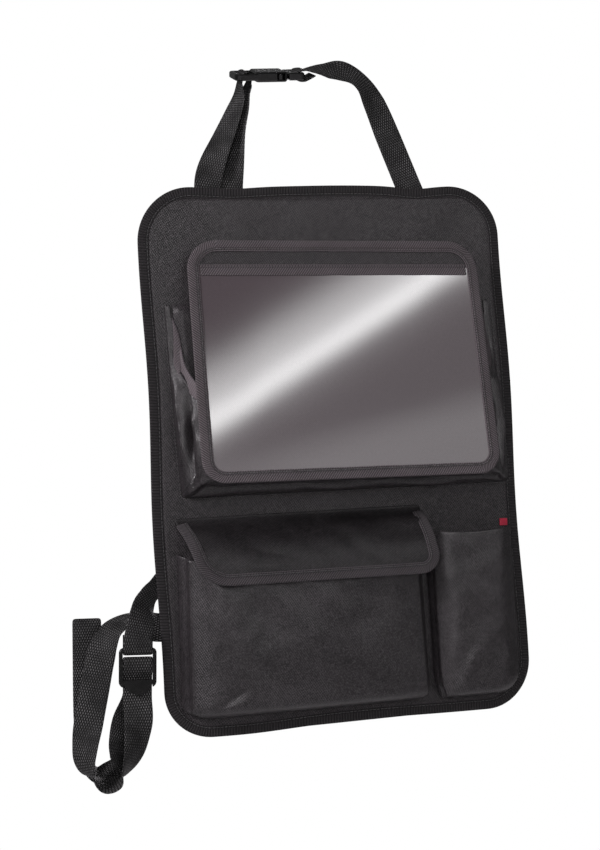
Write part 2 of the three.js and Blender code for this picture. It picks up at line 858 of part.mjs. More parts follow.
function flapTape() {
  const half = cloth / 2 + 2 * turnGap;
  const section = channel(-half, half);
  const edge = flapOutline.filter((p) => p.z < -7 && (p.inX !== 0 || p.inZ > 0));
  const sections = edge.map((p) => section.map(([inset, lift]) => onFlap(
    p.x + p.inX * inset,
    -(p.z + p.inZ * inset),
    lift,
  )));
  return loft(sections, section, false);
}

add('flap_binding', flapTape(), colours.tape, 0.8);

// Closure of the flap: one patch under the flap and one on the pocket's front.
function hookPatch() {
  const grid = [0.6, 0.67, 0.74, 0.8].map((row) => [-62, -50, -38, -26].map((x) => onFlap(
    x,
    row * flapLength,
    -cloth - 2 * seamGap,
  )));
  return clothSheet(grid, cloth);
}

add('flap_hook_patch', hookPatch(), colours.webbing, 0.95);

function loopPatch() {
  const { top, bottom, front } = cargoPocket;
  const grid = [-113, -120, -127].map((z) => [-60, -44, -28].map((x) => {
    const v = (top - z) / (top - bottom);
    const left = mix(front[0][0], front[1][0], v);
    const right = mix(front[0][1], front[1][1], v);
    const out = frontDepth(cargoPocket, (x - left) / (right - left), v);
    return point(x, clothFace - out - cloth - turnGap, z);
  }));
  return clothSheet(grid, cloth);
}

add('pocket_loop_patch', loopPatch(), colours.webbing, 0.95);

// Loose red tab sewn beside the mouth of the side pocket.
add('red_tab', block(177, 186, clothFace - cloth, clothFace + cloth / 2, -89.5, -81.5), colours.red, 0.7);

// Buckle frame: x along its length, y across the webbing, z through its thickness.
const buckleFrame = new THREE.Group();
buckleFrame.position.set(...buckle.origin);
const lengthAxis = point(
  Math.cos(THREE.MathUtils.degToRad(buckle.pitch)),
  0,
  Math.sin(THREE.MathUtils.degToRad(buckle.pitch)),
);
const widthAxis = point(
  0,
  Math.cos(THREE.MathUtils.degToRad(buckle.tilt)),
  Math.sin(THREE.MathUtils.degToRad(buckle.tilt)),
);
widthAxis.addScaledVector(lengthAxis, -widthAxis.dot(lengthAxis)).normalize();
const liftAxis = lengthAxis.clone().cross(widthAxis).normalize();
const buckleTurn = new THREE.Matrix4().makeBasis(lengthAxis, widthAxis, liftAxis);
buckleFrame.quaternion.setFromRotationMatrix(buckleTurn);
root.add(buckleFrame);

const onBuckle = (along, across, lift) => point(...buckle.origin)
  .addScaledVector(lengthAxis, along)
  .addScaledVector(widthAxis, across)
  .addScaledVector(liftAxis, lift);

function buckleSocket() {
  const w = buckle.halfWidth;
  const slot = buckle.slotHalfWidth;
  const loop = mouldedPlate(
    [[0, w], [0, -w], [buckle.bodyStart + 6, -w], [buckle.bodyStart + 6, w]],
    [6, 6, 2, 2],
    buckle.loopThickness,
    1.2,
  );
  const body = mouldedPlate(
    [[buckle.bodyStart, w], [buckle.bodyStart, -w], [buckle.mouth, -w], [buckle.mouth, w]],
    [5, 5, 3, 3],
    buckle.bodyThickness,
    1.8,
  );
  const slotReach = buckle.bodyThickness;
  const barHalf = buckle.barThickness / 2;
  const cuts = [
    block(buckle.endBar, buckle.barStart, -slot, slot, -slotReach, slotReach),
    block(buckle.barEnd, buckle.bodyStart, -slot, slot, -slotReach, slotReach),
    block(buckle.barStart - 1, buckle.barEnd + 1, -slot, slot, barHalf, slotReach),
    block(buckle.barStart - 1, buckle.barEnd + 1, -slot, slot, -slotReach, -barHalf),
    block(buckle.cavityStart, buckle.mouth + 5, -14.6, 14.6, -3, 3),
    block(buckle.windowStart, buckle.windowEnd, 10, 25, -3.9, 3.9),
    block(buckle.windowStart, buckle.windowEnd, -25, -10, -3.9, 3.9),
  ];
  let solid = toManifold(loop).add(toManifold(body));
  for (const cut of cuts) solid = solid.subtract(toManifold(cut));
  return fromManifold(solid);
}

add('buckle_socket', buckleSocket(), colours.plastic, 0.35, buckleFrame);

function plugArm(side) {
  const shape = new THREE.Shape();
  shape.moveTo(buckle.plugStart + 1, side * 6.5);
  shape.lineTo(buckle.plugStart + 1, side * 11.5);
  shape.lineTo(buckle.windowEnd - 0.6, side * 13.2);
  shape.quadraticCurveTo(buckle.windowEnd - 0.8, side * 17.6, buckle.windowEnd - 4, side * 17.8);
  shape.quadraticCurveTo(buckle.windowStart + 1.5, side * 17.2, buckle.windowStart + 0.6, side * 13.2);
  shape.lineTo(buckle.windowStart - 4, side * 10.6);
  shape.lineTo(buckle.windowStart - 4, side * 8.6);
  shape.lineTo(buckle.windowStart + 5, side * 8.6);
  shape.closePath();
  const geometry = new THREE.ExtrudeGeometry(shape, { depth: 5, bevelEnabled: false, curveSegments: 5 });
  geometry.translate(0, 0, -2.5);
  return geometry;
}

function bucklePlug() {
  const base = mouldedPlate(
    [
      [buckle.plugStart, 17.5],
      [buckle.plugStart, -17.5],
      [buckle.plugEnd, -buckle.halfWidth],
      [buckle.plugEnd, buckle.halfWidth],
    ],
    [2, 2, 4, 4],
    8,
    1.2,
  );
  const guide = block(36, buckle.plugStart + 2, -2.2, 2.2, -2.4, 2.4);
  const slotHalf = buckle.slotHalfWidth;
  const slot = block(buckle.plugSlotStart, buckle.plugSlotEnd, -slotHalf, slotHalf, -9, 9);
  let solid = toManifold(base).add(toManifold(guide));
  for (const side of [1, -1]) solid = solid.add(toManifold(plugArm(side)));
  return fromManifold(solid.subtract(toManifold(slot)));
}

add('buckle_plug', bucklePlug(), colours.plastic, 0.35, buckleFrame);

const keyOn = (place, direction) => [...place.toArray(), ...direction.toArray()];
const widthReversed = widthAxis.clone().negate();

// Left hanging strap: sewn behind the panel's top edge, up through the first slot of the socket,
// over its bar, down through the second slot and back to the panel.
const overBar = [[8.4, -9], [8.3, -3], [9.1, 2.6], [13, 4.7], [16.9, 2.6], [17.9, -3], [18.1, -9]];
const leftStrap = [
  [-124.5, 1.35, 262, 1, 0, 0],
  [-124, 1.4, 274, 1, 0, 0],
  [-123, 2.2, 290, 1, 0, 0],
  [-116.5, 4.5, 312, 0.93, -0.35, 0],
  [-101, 8, 345, 0.7, -0.7, -0.1],
  [-89.5, 9, 372, 0.44, -0.85, -0.25],
  [-84.5, 7.5, 387, 0.2, -0.91, -0.36],
  ...overBar.map(([along, lift]) => keyOn(onBuckle(along, 0, lift), widthReversed)),
  [-74, 7.5, 387, 0.2, -0.91, -0.36],
  [-77, 9, 372, 0.44, -0.85, -0.25],
  [-87, 9, 345, 0.7, -0.7, -0.1],
  [-96, 7, 312, 0.93, -0.35, 0],
  [-99.3, 5.2, 290, 1, 0, 0],
  [-99.5, 4.3, 274, 1, 0, 0],
  [-99.5, 4, 262, 1, 0, 0],
];
add('top_strap_left', ribbon(leftStrap, 64), colours.webbing, 0.8);

// Right hanging strap: it turns over from the panel toward the buckle and doubles round the plug's bar.
const roundPlug = [
  [84, 4.2], [76, 5.6], [69.5, 4.2], [68.2, 0], [69.5, -4.2], [76, -5.6], [83, -3], [89, 0.2],
];
const plugWebbing = roundPlug.map(([along, lift]) => keyOn(onBuckle(along, 0, lift), widthAxis));
const rightStrap = [
  [107.8, 1.2, 262, 0.94, 0, 0.35],
  [99.4, 1.2, 285, 0.94, 0, 0.35],
  [79, 0.5, 341, 0.93, 0.05, 0.36],
  [65.5, 0, 378, 0.86, 0.25, 0.45],
  [57, 0.5, 396, 0.58, 0.48, 0.66],
  [46, 1.5, 407.5, 0.2, 0.5, 0.84],
  [31, 2.5, 414, 0.05, 0.42, 0.9],
  [13, 3, 413.5, 0, 0.66, 0.75],
  ...plugWebbing,
];
add('top_strap_right', ribbon(rightStrap, 56), colours.webbing, 0.8);

// Ladder lock: x across, y to the back and z up, with a lifting tongue on its lowest bar.
const lockFrame = new THREE.Group();
lockFrame.position.set(...lock.origin);
lockFrame.rotation.y = THREE.MathUtils.degToRad(lock.lean);
root.add(lockFrame);

const onLock = (y, z) => {
  const turn = THREE.MathUtils.degToRad(lock.lean);
  return point(z * Math.sin(turn), y, z * Math.cos(turn)).add(point(...lock.origin));
};

const acrossLock = point(
  Math.cos(THREE.MathUtils.degToRad(lock.lean)),
  0,
  -Math.sin(THREE.MathUtils.degToRad(lock.lean)),
);

function ladderLock() {
  const w = lock.halfWidth;
  const inner = w - lock.rail;
  const corners = [[-w, lock.height], [-w, 0], [w, 0], [w, lock.height]];
  const frame = mouldedPlate(corners, [5, 6, 6, 5], lock.depth, 1);
  frame.rotateX(Math.PI / 2);
  let solid = toManifold(frame);
  solid = solid.subtract(toManifold(block(-inner, inner, -9, 9, -1, lock.topBar)));
  const bar = new THREE.CylinderGeometry(lock.barRadius, lock.barRadius, 2 * inner + 2, 14);
  bar.rotateZ(Math.PI / 2);
  bar.translate(0, 0, lock.middleBar);
  const lowBar = block(-inner - 1, inner + 1, -4.6, -0.6, lock.bottomBar[0], lock.bottomBar[1]);
  const tongueShape = new THREE.Shape();
  tongueShape.moveTo(-14.5, lock.bottomBar[1]);
  tongueShape.lineTo(-14.5, 4);
  tongueShape.quadraticCurveTo(-9, -6.5, 0, -7);
  tongueShape.quadraticCurveTo(9, -6.5, 14.5, 4);
  tongueShape.lineTo(14.5, lock.bottomBar[1]);
  const tongue = new THREE.ExtrudeGeometry(tongueShape, { depth: 2, bevelEnabled: false, curveSegments: 6 });
  tongue.rotateX(Math.PI / 2);
  tongue.translate(0, -3.6, 0);
  for (const piece of [bar, lowBar, tongue]) solid = solid.add(toManifold(piece));
  return fromManifold(solid);
}

add('ladder_lock', ladderLock(), colours.plastic, 0.35, lockFrame);

// Short lower strap: sewn behind the panel's left edge and folded round the lock's top bar.
const roundTopBar = [
  [-4.4, 48], [-4.2, 40], [-3.6, 35], [0, 33.1], [3.6, 35], [4.2, 40], [4.2, 47], [4.6, 53],
];
const shortStrap = [
  [-152, 1.5, -110, 0.2, 0, -0.98],
  [-164, 1.5, -112, 0.2, 0, -0.98],
  [-174, 3.4, -115, 0.2, 0.08, -0.97],
  [-184, 8.5, -118.5, 0.25, 0.33, -0.9],
  [-194, 12.5, -123, 0.3, 0.66, -0.68],
  [-203, 12, -130, 0.38, 0.82, -0.42],
  [-210.5, 5.5, -141, 0.58, 0.77, -0.25],
  [-216.5, -3, -154, 0.85, 0.5, -0.12],
  [-220.5, -8.5, -170, 0.98, 0.15, -0.05],
  ...roundTopBar.map(([y, z]) => keyOn(onLock(y, z), acrossLock)),
];
add('lower_strap_short', ribbon(shortStrap, 50), colours.webbing, 0.8);

// Long lower strap: sewn behind the panel's right edge, led loosely behind the panel, turned down
// on the left and up again into the front of the lock, over its bar, and left as a tail behind.
const throughLock = [
  [0.6, -12], [1.2, -3], [1, 6.5], [-0.6, 12], [-3.3, 17.5], [-4.2, 24], [-2.9, 28.9],
  [0, 30.3], [2.9, 28.9], [4.3, 24], [4.1, 15], [4.3, 4], [5, -8],
];
const longStrap = [
  [186, 1.2, -150, 0, 0, 1],
  [160, 1.2, -151, 0, 0, 1],
  [120, 9, -154, 0, 0, 1],
  [0, 15, -164, 0, 0, 1],
  [-130, 14, -169, 0, 0, 1],
  [-200, 12, -171.5, 0, 0, 1],
  [-230, 10.5, -170.5, -0.12, 0.15, 0.97],
  [-248, 7, -172.5, -0.55, 0.5, 0.66],
  [-257, 2, -184, -0.86, 0.4, 0.3],
  [-262.5, -3.5, -200, -0.99, 0.05, 0.12],
  [-269, -8, -226, -0.98, 0, 0.15],
  [-276, -10, -254, -0.97, 0.1, 0.12],
  [-281.5, -12, -279, -0.84, 0.54, 0],
  [-283, -12, -297, -0.68, 0.73, 0],
  [-278.5, -11.5, -312, -0.42, 0.9, 0],
  [-265, -11, -323.5, 0, 1, 0],
  [-250.5, -11.5, -321, 0.3, 0.95, 0],
  [-240, -12, -310, 0.6, 0.8, 0],
  [-233.5, -12.5, -292, 0.8, 0.6, 0],
  [-229, -12, -273, 0.94, 0.33, 0],
  [-227, -10, -257, 1, 0, 0],
  ...throughLock.map(([y, z]) => keyOn(onLock(y, z), acrossLock)),
  [-230.5, 2.5, -249, 0.97, -0.2, 0],
  [-239, 8, -266, 0.86, -0.5, 0],
  [-246.5, 12, -283, 0.72, -0.68, -0.1],
  [-252, 13.5, -297, 0.58, -0.76, -0.28],
  [-259, 14, -307, 0.24, -0.86, -0.43],
  [-267.5, 14, -311, 0, -0.88, -0.47],
  [-276, 14, -305, -0.24, -0.88, -0.38],
  [-278, 14, -293, -0.64, -0.75, -0.16],
  [-277.5, 15, -278, -0.84, -0.54, 0],
  [-275.5, 17, -252, -0.97, -0.2, 0.02],
  [-273.5, 19, -214, -0.99, 0, 0.03],
  [-271, 21, -157, -0.99, 0, 0.03],
];
add('lower_strap_long', ribbon(longStrap, 150), colours.webbing, 0.8);

export default root;
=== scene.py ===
import json
import math

import bpy
from mathutils import Matrix, Vector, noise

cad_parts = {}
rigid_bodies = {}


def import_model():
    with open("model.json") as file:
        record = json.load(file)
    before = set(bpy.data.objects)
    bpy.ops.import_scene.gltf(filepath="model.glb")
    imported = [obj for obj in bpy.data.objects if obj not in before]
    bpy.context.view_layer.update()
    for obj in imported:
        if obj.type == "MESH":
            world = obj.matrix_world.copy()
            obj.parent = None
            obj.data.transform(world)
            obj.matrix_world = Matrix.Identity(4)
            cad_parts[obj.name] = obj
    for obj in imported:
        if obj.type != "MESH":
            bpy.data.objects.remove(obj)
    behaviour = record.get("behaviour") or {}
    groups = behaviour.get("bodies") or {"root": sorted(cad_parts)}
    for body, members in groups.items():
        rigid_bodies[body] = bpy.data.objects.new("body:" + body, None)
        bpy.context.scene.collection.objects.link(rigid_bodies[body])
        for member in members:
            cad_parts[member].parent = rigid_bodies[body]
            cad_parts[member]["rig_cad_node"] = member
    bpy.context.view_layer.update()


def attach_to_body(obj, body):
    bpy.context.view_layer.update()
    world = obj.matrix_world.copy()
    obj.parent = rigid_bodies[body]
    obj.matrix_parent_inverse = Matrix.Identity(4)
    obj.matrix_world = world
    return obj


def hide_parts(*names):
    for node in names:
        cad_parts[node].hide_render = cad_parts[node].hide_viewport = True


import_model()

mm = 0.001


def note(stage):
    print("stage:", stage)


# Camera, at the photograph's place
cameraSetup = {
    "place": (-0.3996, -1.4352, -0.0552),
    "azimuth": -14.1,
    "elevation": -3.3,
    "roll": -3.4,
    "lens": 59.3,
}


def addCamera(setup):
    azimuth, elevation, roll = (math.radians(setup[key]) for key in ("azimuth", "elevation", "roll"))
    back = Vector((
        math.sin(azimuth) * math.cos(elevation),
        -math.cos(azimuth) * math.cos(elevation),
        math.sin(elevation),
    ))
    level = (-back).cross(Vector((0, 0, 1))).normalized()
    upright = level.cross(-back)
    right = math.cos(roll) * level + math.sin(roll) * upright
    up = -math.sin(roll) * level + math.cos(roll) * upright
    bpy.ops.object.camera_add()
    camera = bpy.context.object
    camera.name = "photoCamera"
    camera.data.lens = setup["lens"]
    turn = Matrix((right, up, back)).transposed().to_4x4()
    camera.matrix_world = Matrix.Translation(setup["place"]) @ turn
    bpy.context.scene.camera = camera


addCamera(cameraSetup)
note("camera")


# Shader maths: a field is one socket, and an expression on fields adds its nodes
def operator(operation, swapped=False):
    def apply(field, other):
        values = (other, field) if swapped else (field, other)
        return field.graph.maths(operation, *values)

    return apply


class Field:
    def __init__(self, graph, socket):
        self.graph = graph
        self.socket = socket

    __add__ = __radd__ = operator("ADD")
    __sub__ = operator("SUBTRACT")
    __rsub__ = operator("SUBTRACT", True)
    __mul__ = __rmul__ = operator("MULTIPLY")
    __truediv__ = operator("DIVIDE")
    __pow__ = operator("POWER")
    __gt__ = operator("GREATER_THAN")
    __lt__ = operator("LESS_THAN")


class Graph:
    def __init__(self, tree):
        self.tree = tree

    def node(self, kind, settings=None, inputs=None, output=0):
        made = self.tree.nodes.new(kind)
        for key, value in (settings or {}).items():
            if key == "stops":
                self.setStops(made.color_ramp, value)
            else:
                setattr(made, key, value)
        for key, value in (inputs or {}).items():
            self.feed(made.inputs[key], value)
        return Field(self, made.outputs[output])

    def setStops(self, ramp, stops):
        while len(ramp.elements) < len(stops):
            ramp.elements.new(0.5)
        for element, (place, colour) in zip(ramp.elements, stops):
            element.position = place
            element.color = (*colour, 1)

    def feed(self, socket, value):
        if isinstance(value, Field):
            self.tree.links.new(value.socket, socket)
        else:
            socket.default_value = value

    def maths(self, operation, *values):
        return self.node("ShaderNodeMath", {"operation": operation}, dict(enumerate(values)))

    def sine(self, value):
        return self.maths("SINE", value * (2 * math.pi))

    def wave(self, value):
        return self.sine(value) * 0.5 + 0.5

    def blend(self, factor, first, second):
        return self.node("ShaderNodeMix", {"data_type": "RGBA"}, {0: factor, 6: first, 7: second}, 2)

    def split(self, vector):
        first = self.node("ShaderNodeSeparateXYZ", None, {"Vector": vector})
        return [Field(self, output) for output in first.socket.node.outputs]

    def clothPlace(self):
        across, along, rest = self.split(self.node("ShaderNodeUVMap", {"uv_map": "cloth"}))
        return across * 1000, along * 1000

    def objectPlace(self):
        return self.node("ShaderNodeTexCoord", None, None, 3)

    def noise(self, scale, detail=2.0, roughness=0.5):
        inputs = {"Vector": self.objectPlace(), "Scale": scale, "Detail": detail, "Roughness": roughness}
        return self.node("ShaderNodeTexNoise", None, inputs)

    def ramp(self, factor, stops):
        return self.node("ShaderNodeValToRGB", {"stops": stops}, {"Fac": factor})

    def bump(self, height, strength, distance):
        return self.node("ShaderNodeBump", None, {"Height": height, "Strength": strength, "Distance": distance})


class Finish(Graph):
    def __init__(self, name):
        self.material = bpy.data.materials.new(name)
        self.material.use_nodes = True
        super().__init__(self.material.node_tree)
        self.shader = self.tree.nodes["Principled BSDF"]

    def set(self, **values):
        for key, value in values.items():
            self.feed(self.shader.inputs[key.replace("_", " ")], value)


def grey(value, tint=(1, 1, 1)):
    return (value * tint[0], value * tint[1], value * tint[2], 1)


def shades(look):
    return [grey(look[key], look["tint"]) for key in ("dark", "light")]


clothLook = {
    "dark": 0.0005, "light": 0.068, "tint": (1.0, 0.89, 0.96), "pitch": 2.4, "roughness": 0.42,
    "specular": 0.3, "cloud": 13, "weave": 0.75, "grain": 620,
}


def clothFinish(name, look):
    finish = Finish(name)
    across, along = finish.clothPlace()
    warp = finish.sine((across + along * 0.62) / look["pitch"])
    weft = finish.sine((across * 0.62 - along) / (look["pitch"] * 1.1))
    weave = (warp * 0.65 + weft * 0.35) * 0.5 + 0.5
    cloud = finish.noise(look["cloud"], 3, 0.55)
    grain = finish.noise(look["grain"], 2)
    mottle = finish.noise(170, 2)
    tone = weave * look["weave"] + cloud * 0.4 + (grain - 0.5) * 1.5 + (mottle - 0.5) * 0.4 - 0.24
    finish.set(
        Base_Color=finish.blend(tone, *shades(look)),
        Roughness=finish.maths("MAXIMUM", (cloud - weave) * 0.25 + look["roughness"], 0.2),
        Normal=finish.bump(weave + grain * 0.4, 0.7, 0.0002),
        Specular_IOR_Level=look["specular"],
        Sheen_Weight=0.02,
        Sheen_Roughness=0.4,
    )
    return finish.material


# Tape looks: the hem entry sets a painted highlight along the tape's folded inner edge, and the inner entry is
# the width of a band of painted shade beside it
tapeLook = {
    "dark": 0.001, "light": 0.06, "tint": (1.0, 0.89, 0.96), "pitch": 2.6, "slant": 0.45,
    "hemHighlight": 0.6, "hemWidth": 0.9, "inner": 4.4, "ribs": 0.75, "threadPitch": 0.95,
    "stitch": 2.4, "stitchPitch": 3.1,
}


def tapeFinish(name, look):
    finish = Finish(name)
    across, along = finish.clothPlace()
    rib = finish.wave((along + across * look["slant"]) / look["pitch"])
    thread = finish.wave(across / look["threadPitch"])
    body = rib * (thread * 0.3 + 0.7)
    # Painted highlight: a lighter line, hemWidth wide, along the tape's folded inner edge
    hemHighlight = across < look["hemWidth"]
    fromSeam = finish.maths("ABSOLUTE", across - look["stitch"])
    dashes = finish.sine(along / look["stitchPitch"]) > -0.45
    stitch = (fromSeam < 0.34) * dashes
    # Painted shade: the groove around the stitch line darkens the tape's colour, and it also lowers the bump
    groove = fromSeam < 0.8
    cloud = finish.noise(34, 3)
    grain = finish.noise(1300, 2)
    # Painted shade: a darker band along the tape's inner edge, beside the cloth
    inner = across < look["inner"]
    tone = body * look["ribs"] * (1 - groove * 0.7) * (1 - inner * 0.45)
    tone = tone + cloud * 0.2 + (grain - 0.5) * 0.5
    # Pale stitch thread, then the painted highlight on the hem line
    tone = tone + stitch * 0.95 + hemHighlight * look["hemHighlight"] * 0.6
    height = body * (1 - groove) + stitch * 0.9 + grain * 0.3
    finish.set(
        Base_Color=finish.blend(tone, *shades(look)),
        Roughness=0.6,
        Normal=finish.bump(height, 0.9, 0.0006),
        Specular_IOR_Level=0.22,
        Sheen_Weight=0.05,
        Sheen_Roughness=0.5,
    )
    return finish.material


webbingLook = {"dark": 0.0012, "light": 0.24, "tint": (1, 1, 1), "across": 2.6, "along": 5.4}


def webbingFinish(name, look):
    finish = Finish(name)
    across, along = finish.clothPlace()
    columns = finish.sine(across / look["across"])
    rows = finish.sine(along / look["along"])
    knots = columns * rows
    lump = finish.maths("MAXIMUM", knots, 0) ** 1.6
    shoulder = knots * 0.5 + 0.5
    ribs = finish.wave(along / (look["along"] / 2))
    patch = finish.noise(45, 2)
    grain = finish.noise(1500, 2)
    strength = finish.maths("MAXIMUM", patch * 2.2 - 0.55, 0.12)
    tone = lump * strength + ribs * 0.03 + (grain - 0.5) * 0.06
    finish.set(
        Base_Color=finish.blend(tone, *shades(look)),
        Roughness=0.55,
        Normal=finish.bump(shoulder + ribs * 0.25 + grain * 0.1, 0.9, 0.0006),
        Specular_IOR_Level=0.2,
        Sheen_Weight=0.02,
        Sheen_Roughness=0.5,
    )
    return finish.material


def plasticFinish(name, tone, roughness):
    finish = Finish(name)
    speckle = finish.noise(2600, 2)
    cloud = finish.noise(120, 2)
    finish.set(
        Base_Color=finish.blend(cloud, grey(tone * 0.8), grey(tone * 1.25)),
        Roughness=cloud * 0.12 + (roughness - 0.06),
        Normal=finish.bump(speckle, 0.12, 0.0001),
        Specular_IOR_Level=0.7,
    )
    return finish.material


filmLook = {"dark": (0.07, 0.058, 0.063), "light": (0.15, 0.127, 0.136), "roughness": 0.075, "pitch": 2.1}


def filmFinish(name, look):
    finish = Finish(name)
    across, along = finish.clothPlace()
    ripple = finish.noise(9, 2)
    weave = finish.wave((across + along) / look["pitch"])
    cloud = finish.noise(3.2, 1)
    grain = finish.noise(800, 1)
    tone = cloud * 0.6 + weave * 0.2 + (grain - 0.5) * 0.4
    finish.set(
        Base_Color=finish.blend(tone, (*look["dark"], 1), (*look["light"], 1)),
        Roughness=look["roughness"],
        Normal=finish.bump(ripple + weave * 0.01, 0.02, 0.002),
        Specular_IOR_Level=1.0,
    )
    return finish.material


def patchFinish(name, tone, scale):
    finish = Finish(name)
    fuzz = finish.noise(scale, 3, 0.7)
    finish.set(
        Base_Color=finish.blend(fuzz, grey(tone * 0.4), grey(tone * 1.6)),
        Roughness=0.9,
        Normal=finish.bump(fuzz, 0.9, 0.0006),
        Sheen_Weight=0.2,
    )
    return finish.material


redLook = {"dark": (0.3, 0.006, 0.03, 1), "light": (0.75, 0.03, 0.08, 1), "pitch": 1.1}


def redFinish(name, look):
    finish = Finish(name)
    across, along = finish.clothPlace()
    weave = finish.sine(across / look["pitch"]) * finish.sine(along / look["pitch"]) * 0.5 + 0.5
    finish.set(
        Base_Color=finish.blend(weave, look["dark"], look["light"]),
        Roughness=0.7,
        Normal=finish.bump(weave, 0.6, 0.0002),
    )
    return finish.material


panelCloth = clothFinish("panelCloth", clothLook)
pocketCloth = clothFinish("pocketCloth", {**clothLook, "specular": 0.46, "roughness": 0.37, "cloud": 11})
# The flap's copy of the cloth has half the light tone: painted shade over the whole flap, with a rougher finish
flapCloth = clothFinish("flapCloth", {**clothLook, "light": 0.035, "roughness": 0.48})
panelTape = tapeFinish("panelTape", {**tapeLook, "light": 0.032, "hemHighlight": 1.6, "slant": 0.06, "pitch": 3.0})
sleeveTape = tapeFinish("sleeveTape", {**tapeLook, "light": 0.215, "tint": (1.0, 0.87, 0.93), "slant": 0.75})
flapEdgeTape = tapeFinish("flapTape", {**tapeLook, "light": 0.12, "slant": 0.8})
blackWebbing = webbingFinish("blackWebbing", webbingLook)
blackPlastic = plasticFinish("blackPlastic", 0.003, 0.2)
clearFilm = filmFinish("clearFilm", filmLook)
hookTape = patchFinish("hookTape", 0.012, 1400)
loopTape = patchFinish("loopTape", 0.016, 700)
redCloth = redFinish("redCloth", redLook)
note("finishes")


# Curves and outlines, in millimetres
def mix(first, second, t):
    return first + (second - first) * t


def clamp(value, low=0.0, high=1.0):
    return max(low, min(high, value))


def smooth(t):
    s = clamp(t)
    return s * s * (3 - 2 * s)


def eased(t):
    return 0.5 - 0.5 * math.cos(math.pi * t)


def bell(value, centre, width):
    return math.exp(-(((value - centre) / width) ** 2))


def table(stops, t):
    place = clamp(t) * (len(stops) - 1)
    index = min(int(place), len(stops) - 2)
    return mix(stops[index], stops[index + 1], smooth(place - index) * 0.5 + (place - index) * 0.5)


def wobble(x, y, z, scale, seed):
    return noise.noise(Vector((x / scale + seed, y / scale, z / scale)))


def walkAlong(places):
    walk = [0.0]
    for first, second in zip(places, places[1:]):
        walk.append(walk[-1] + math.dist(first, second))
    return walk


class Path:
    def __init__(self, points):
        self.points = [Vector(place) for place in points]

    def at(self, t):
        points = self.points
        last = len(points) - 1
        place = clamp(t) * last
        index = min(int(place), last - 1)
        weight = place - index
        before = points[index - 1] if index > 0 else points[0] * 2 - points[1]
        after = points[index + 2] if index + 2 <= last else points[last] * 2 - points[last - 1]
        p0, p1, p2, p3 = before, points[index], points[index + 1], after
        d0, d1, d2 = (math.sqrt((b - a).length) for a, b in ((p0, p1), (p1, p2), (p2, p3)))
        d1 = d1 if d1 > 1e-4 else 1
        d0 = d0 if d0 > 1e-4 else d1
        d2 = d2 if d2 > 1e-4 else d1
        start = ((p1 - p0) / d0 - (p2 - p0) / (d0 + d1) + (p2 - p1) / d1) * d1
        end = ((p2 - p1) / d1 - (p3 - p1) / (d1 + d2) + (p3 - p2) / d2) * d1
        square, cube = weight ** 2, weight ** 3
        return (
            p1 * (2 * cube - 3 * square + 1)
            + start * (cube - 2 * square + weight)
            + p2 * (3 * square - 2 * cube)
            + end * (cube - square)
        )

    def tangent(self, t):
        return (self.at(min(t + 1e-4, 1)) - self.at(max(t - 1e-4, 0))).normalized()

    def byLength(self, steps):
        return walkAlong([self.at(i / steps) for i in range(steps + 1)])


def roundedPolygon(corners, radii, arcSteps, edgeLength):
    arcs = []
    count = len(corners)
    for i, corner in enumerate(corners):
        here = Vector(corner)
        before, after = Vector(corners[i - 1]), Vector(corners[(i + 1) % count])
        arriving, leaving = (here - before).normalized(), (after - here).normalized()
        turn = math.acos(clamp(arriving.dot(leaving), -1, 1))
        start = here - arriving * radii[i] * math.tan(turn / 2)
        inward = Vector((-arriving.y, arriving.x))
        centre = start + inward * radii[i]
        arc = []
        for k in range(arcSteps + 1):
            angle = turn * k / arcSteps
            toward = Vector((
                inward.x * math.cos(angle) - inward.y * math.sin(angle),
                inward.x * math.sin(angle) + inward.y * math.cos(angle),
            ))
            place = centre - toward * radii[i]
            arc.append((place.x, place.y, toward.x, toward.y))
        arcs.append(arc)
    outline = []
    for i, arc in enumerate(arcs):
        outline += arc
        last, following = arc[-1], arcs[(i + 1) % count][0]
        steps = max(1, round(math.hypot(following[0] - last[0], following[1] - last[1]) / edgeLength))
        for k in range(1, steps):
            t = k / steps
            outline.append((mix(last[0], following[0], t), mix(last[1], following[1], t), last[2], last[3]))
    return outline


def insetBy(outline, distance):
    return [(x + inX * distance, z + inZ * distance, inX, inZ) for x, z, inX, inZ in outline]


def spanAt(outline, height):
    hits = []
    for i, (x, z, inX, inZ) in enumerate(outline):
        x2, z2 = outline[(i + 1) % len(outline)][:2]
        if not min(z, z2) - 1e-6 <= height <= max(z, z2) + 1e-6:
            continue
        if abs(z2 - z) < 1e-6:
            hits += [x, x2]
        else:
            hits.append(mix(x, x2, (height - z) / (z2 - z)))
    return min(hits), max(hits)


# Making and finishing pieces
def selectOnly(piece):
    bpy.ops.object.select_all(action="DESELECT")
    piece.select_set(True)
    bpy.context.view_layer.objects.active = piece


def applyModifiers(piece):
    selectOnly(piece)
    for modifier in list(piece.modifiers):
        bpy.ops.object.modifier_apply(modifier=modifier.name)


def smoothFaces():
    bpy.ops.object.mode_set(mode="EDIT")
    bpy.ops.mesh.select_all(action="SELECT")
    bpy.ops.mesh.normals_make_consistent(inside=False)
    bpy.ops.object.mode_set(mode="OBJECT")
    bpy.ops.object.shade_smooth()


def dress(piece, material, nodes):
    piece.data.materials.clear()
    piece.data.materials.append(material)
    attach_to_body(piece, "root")
    if nodes:
        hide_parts(*nodes)


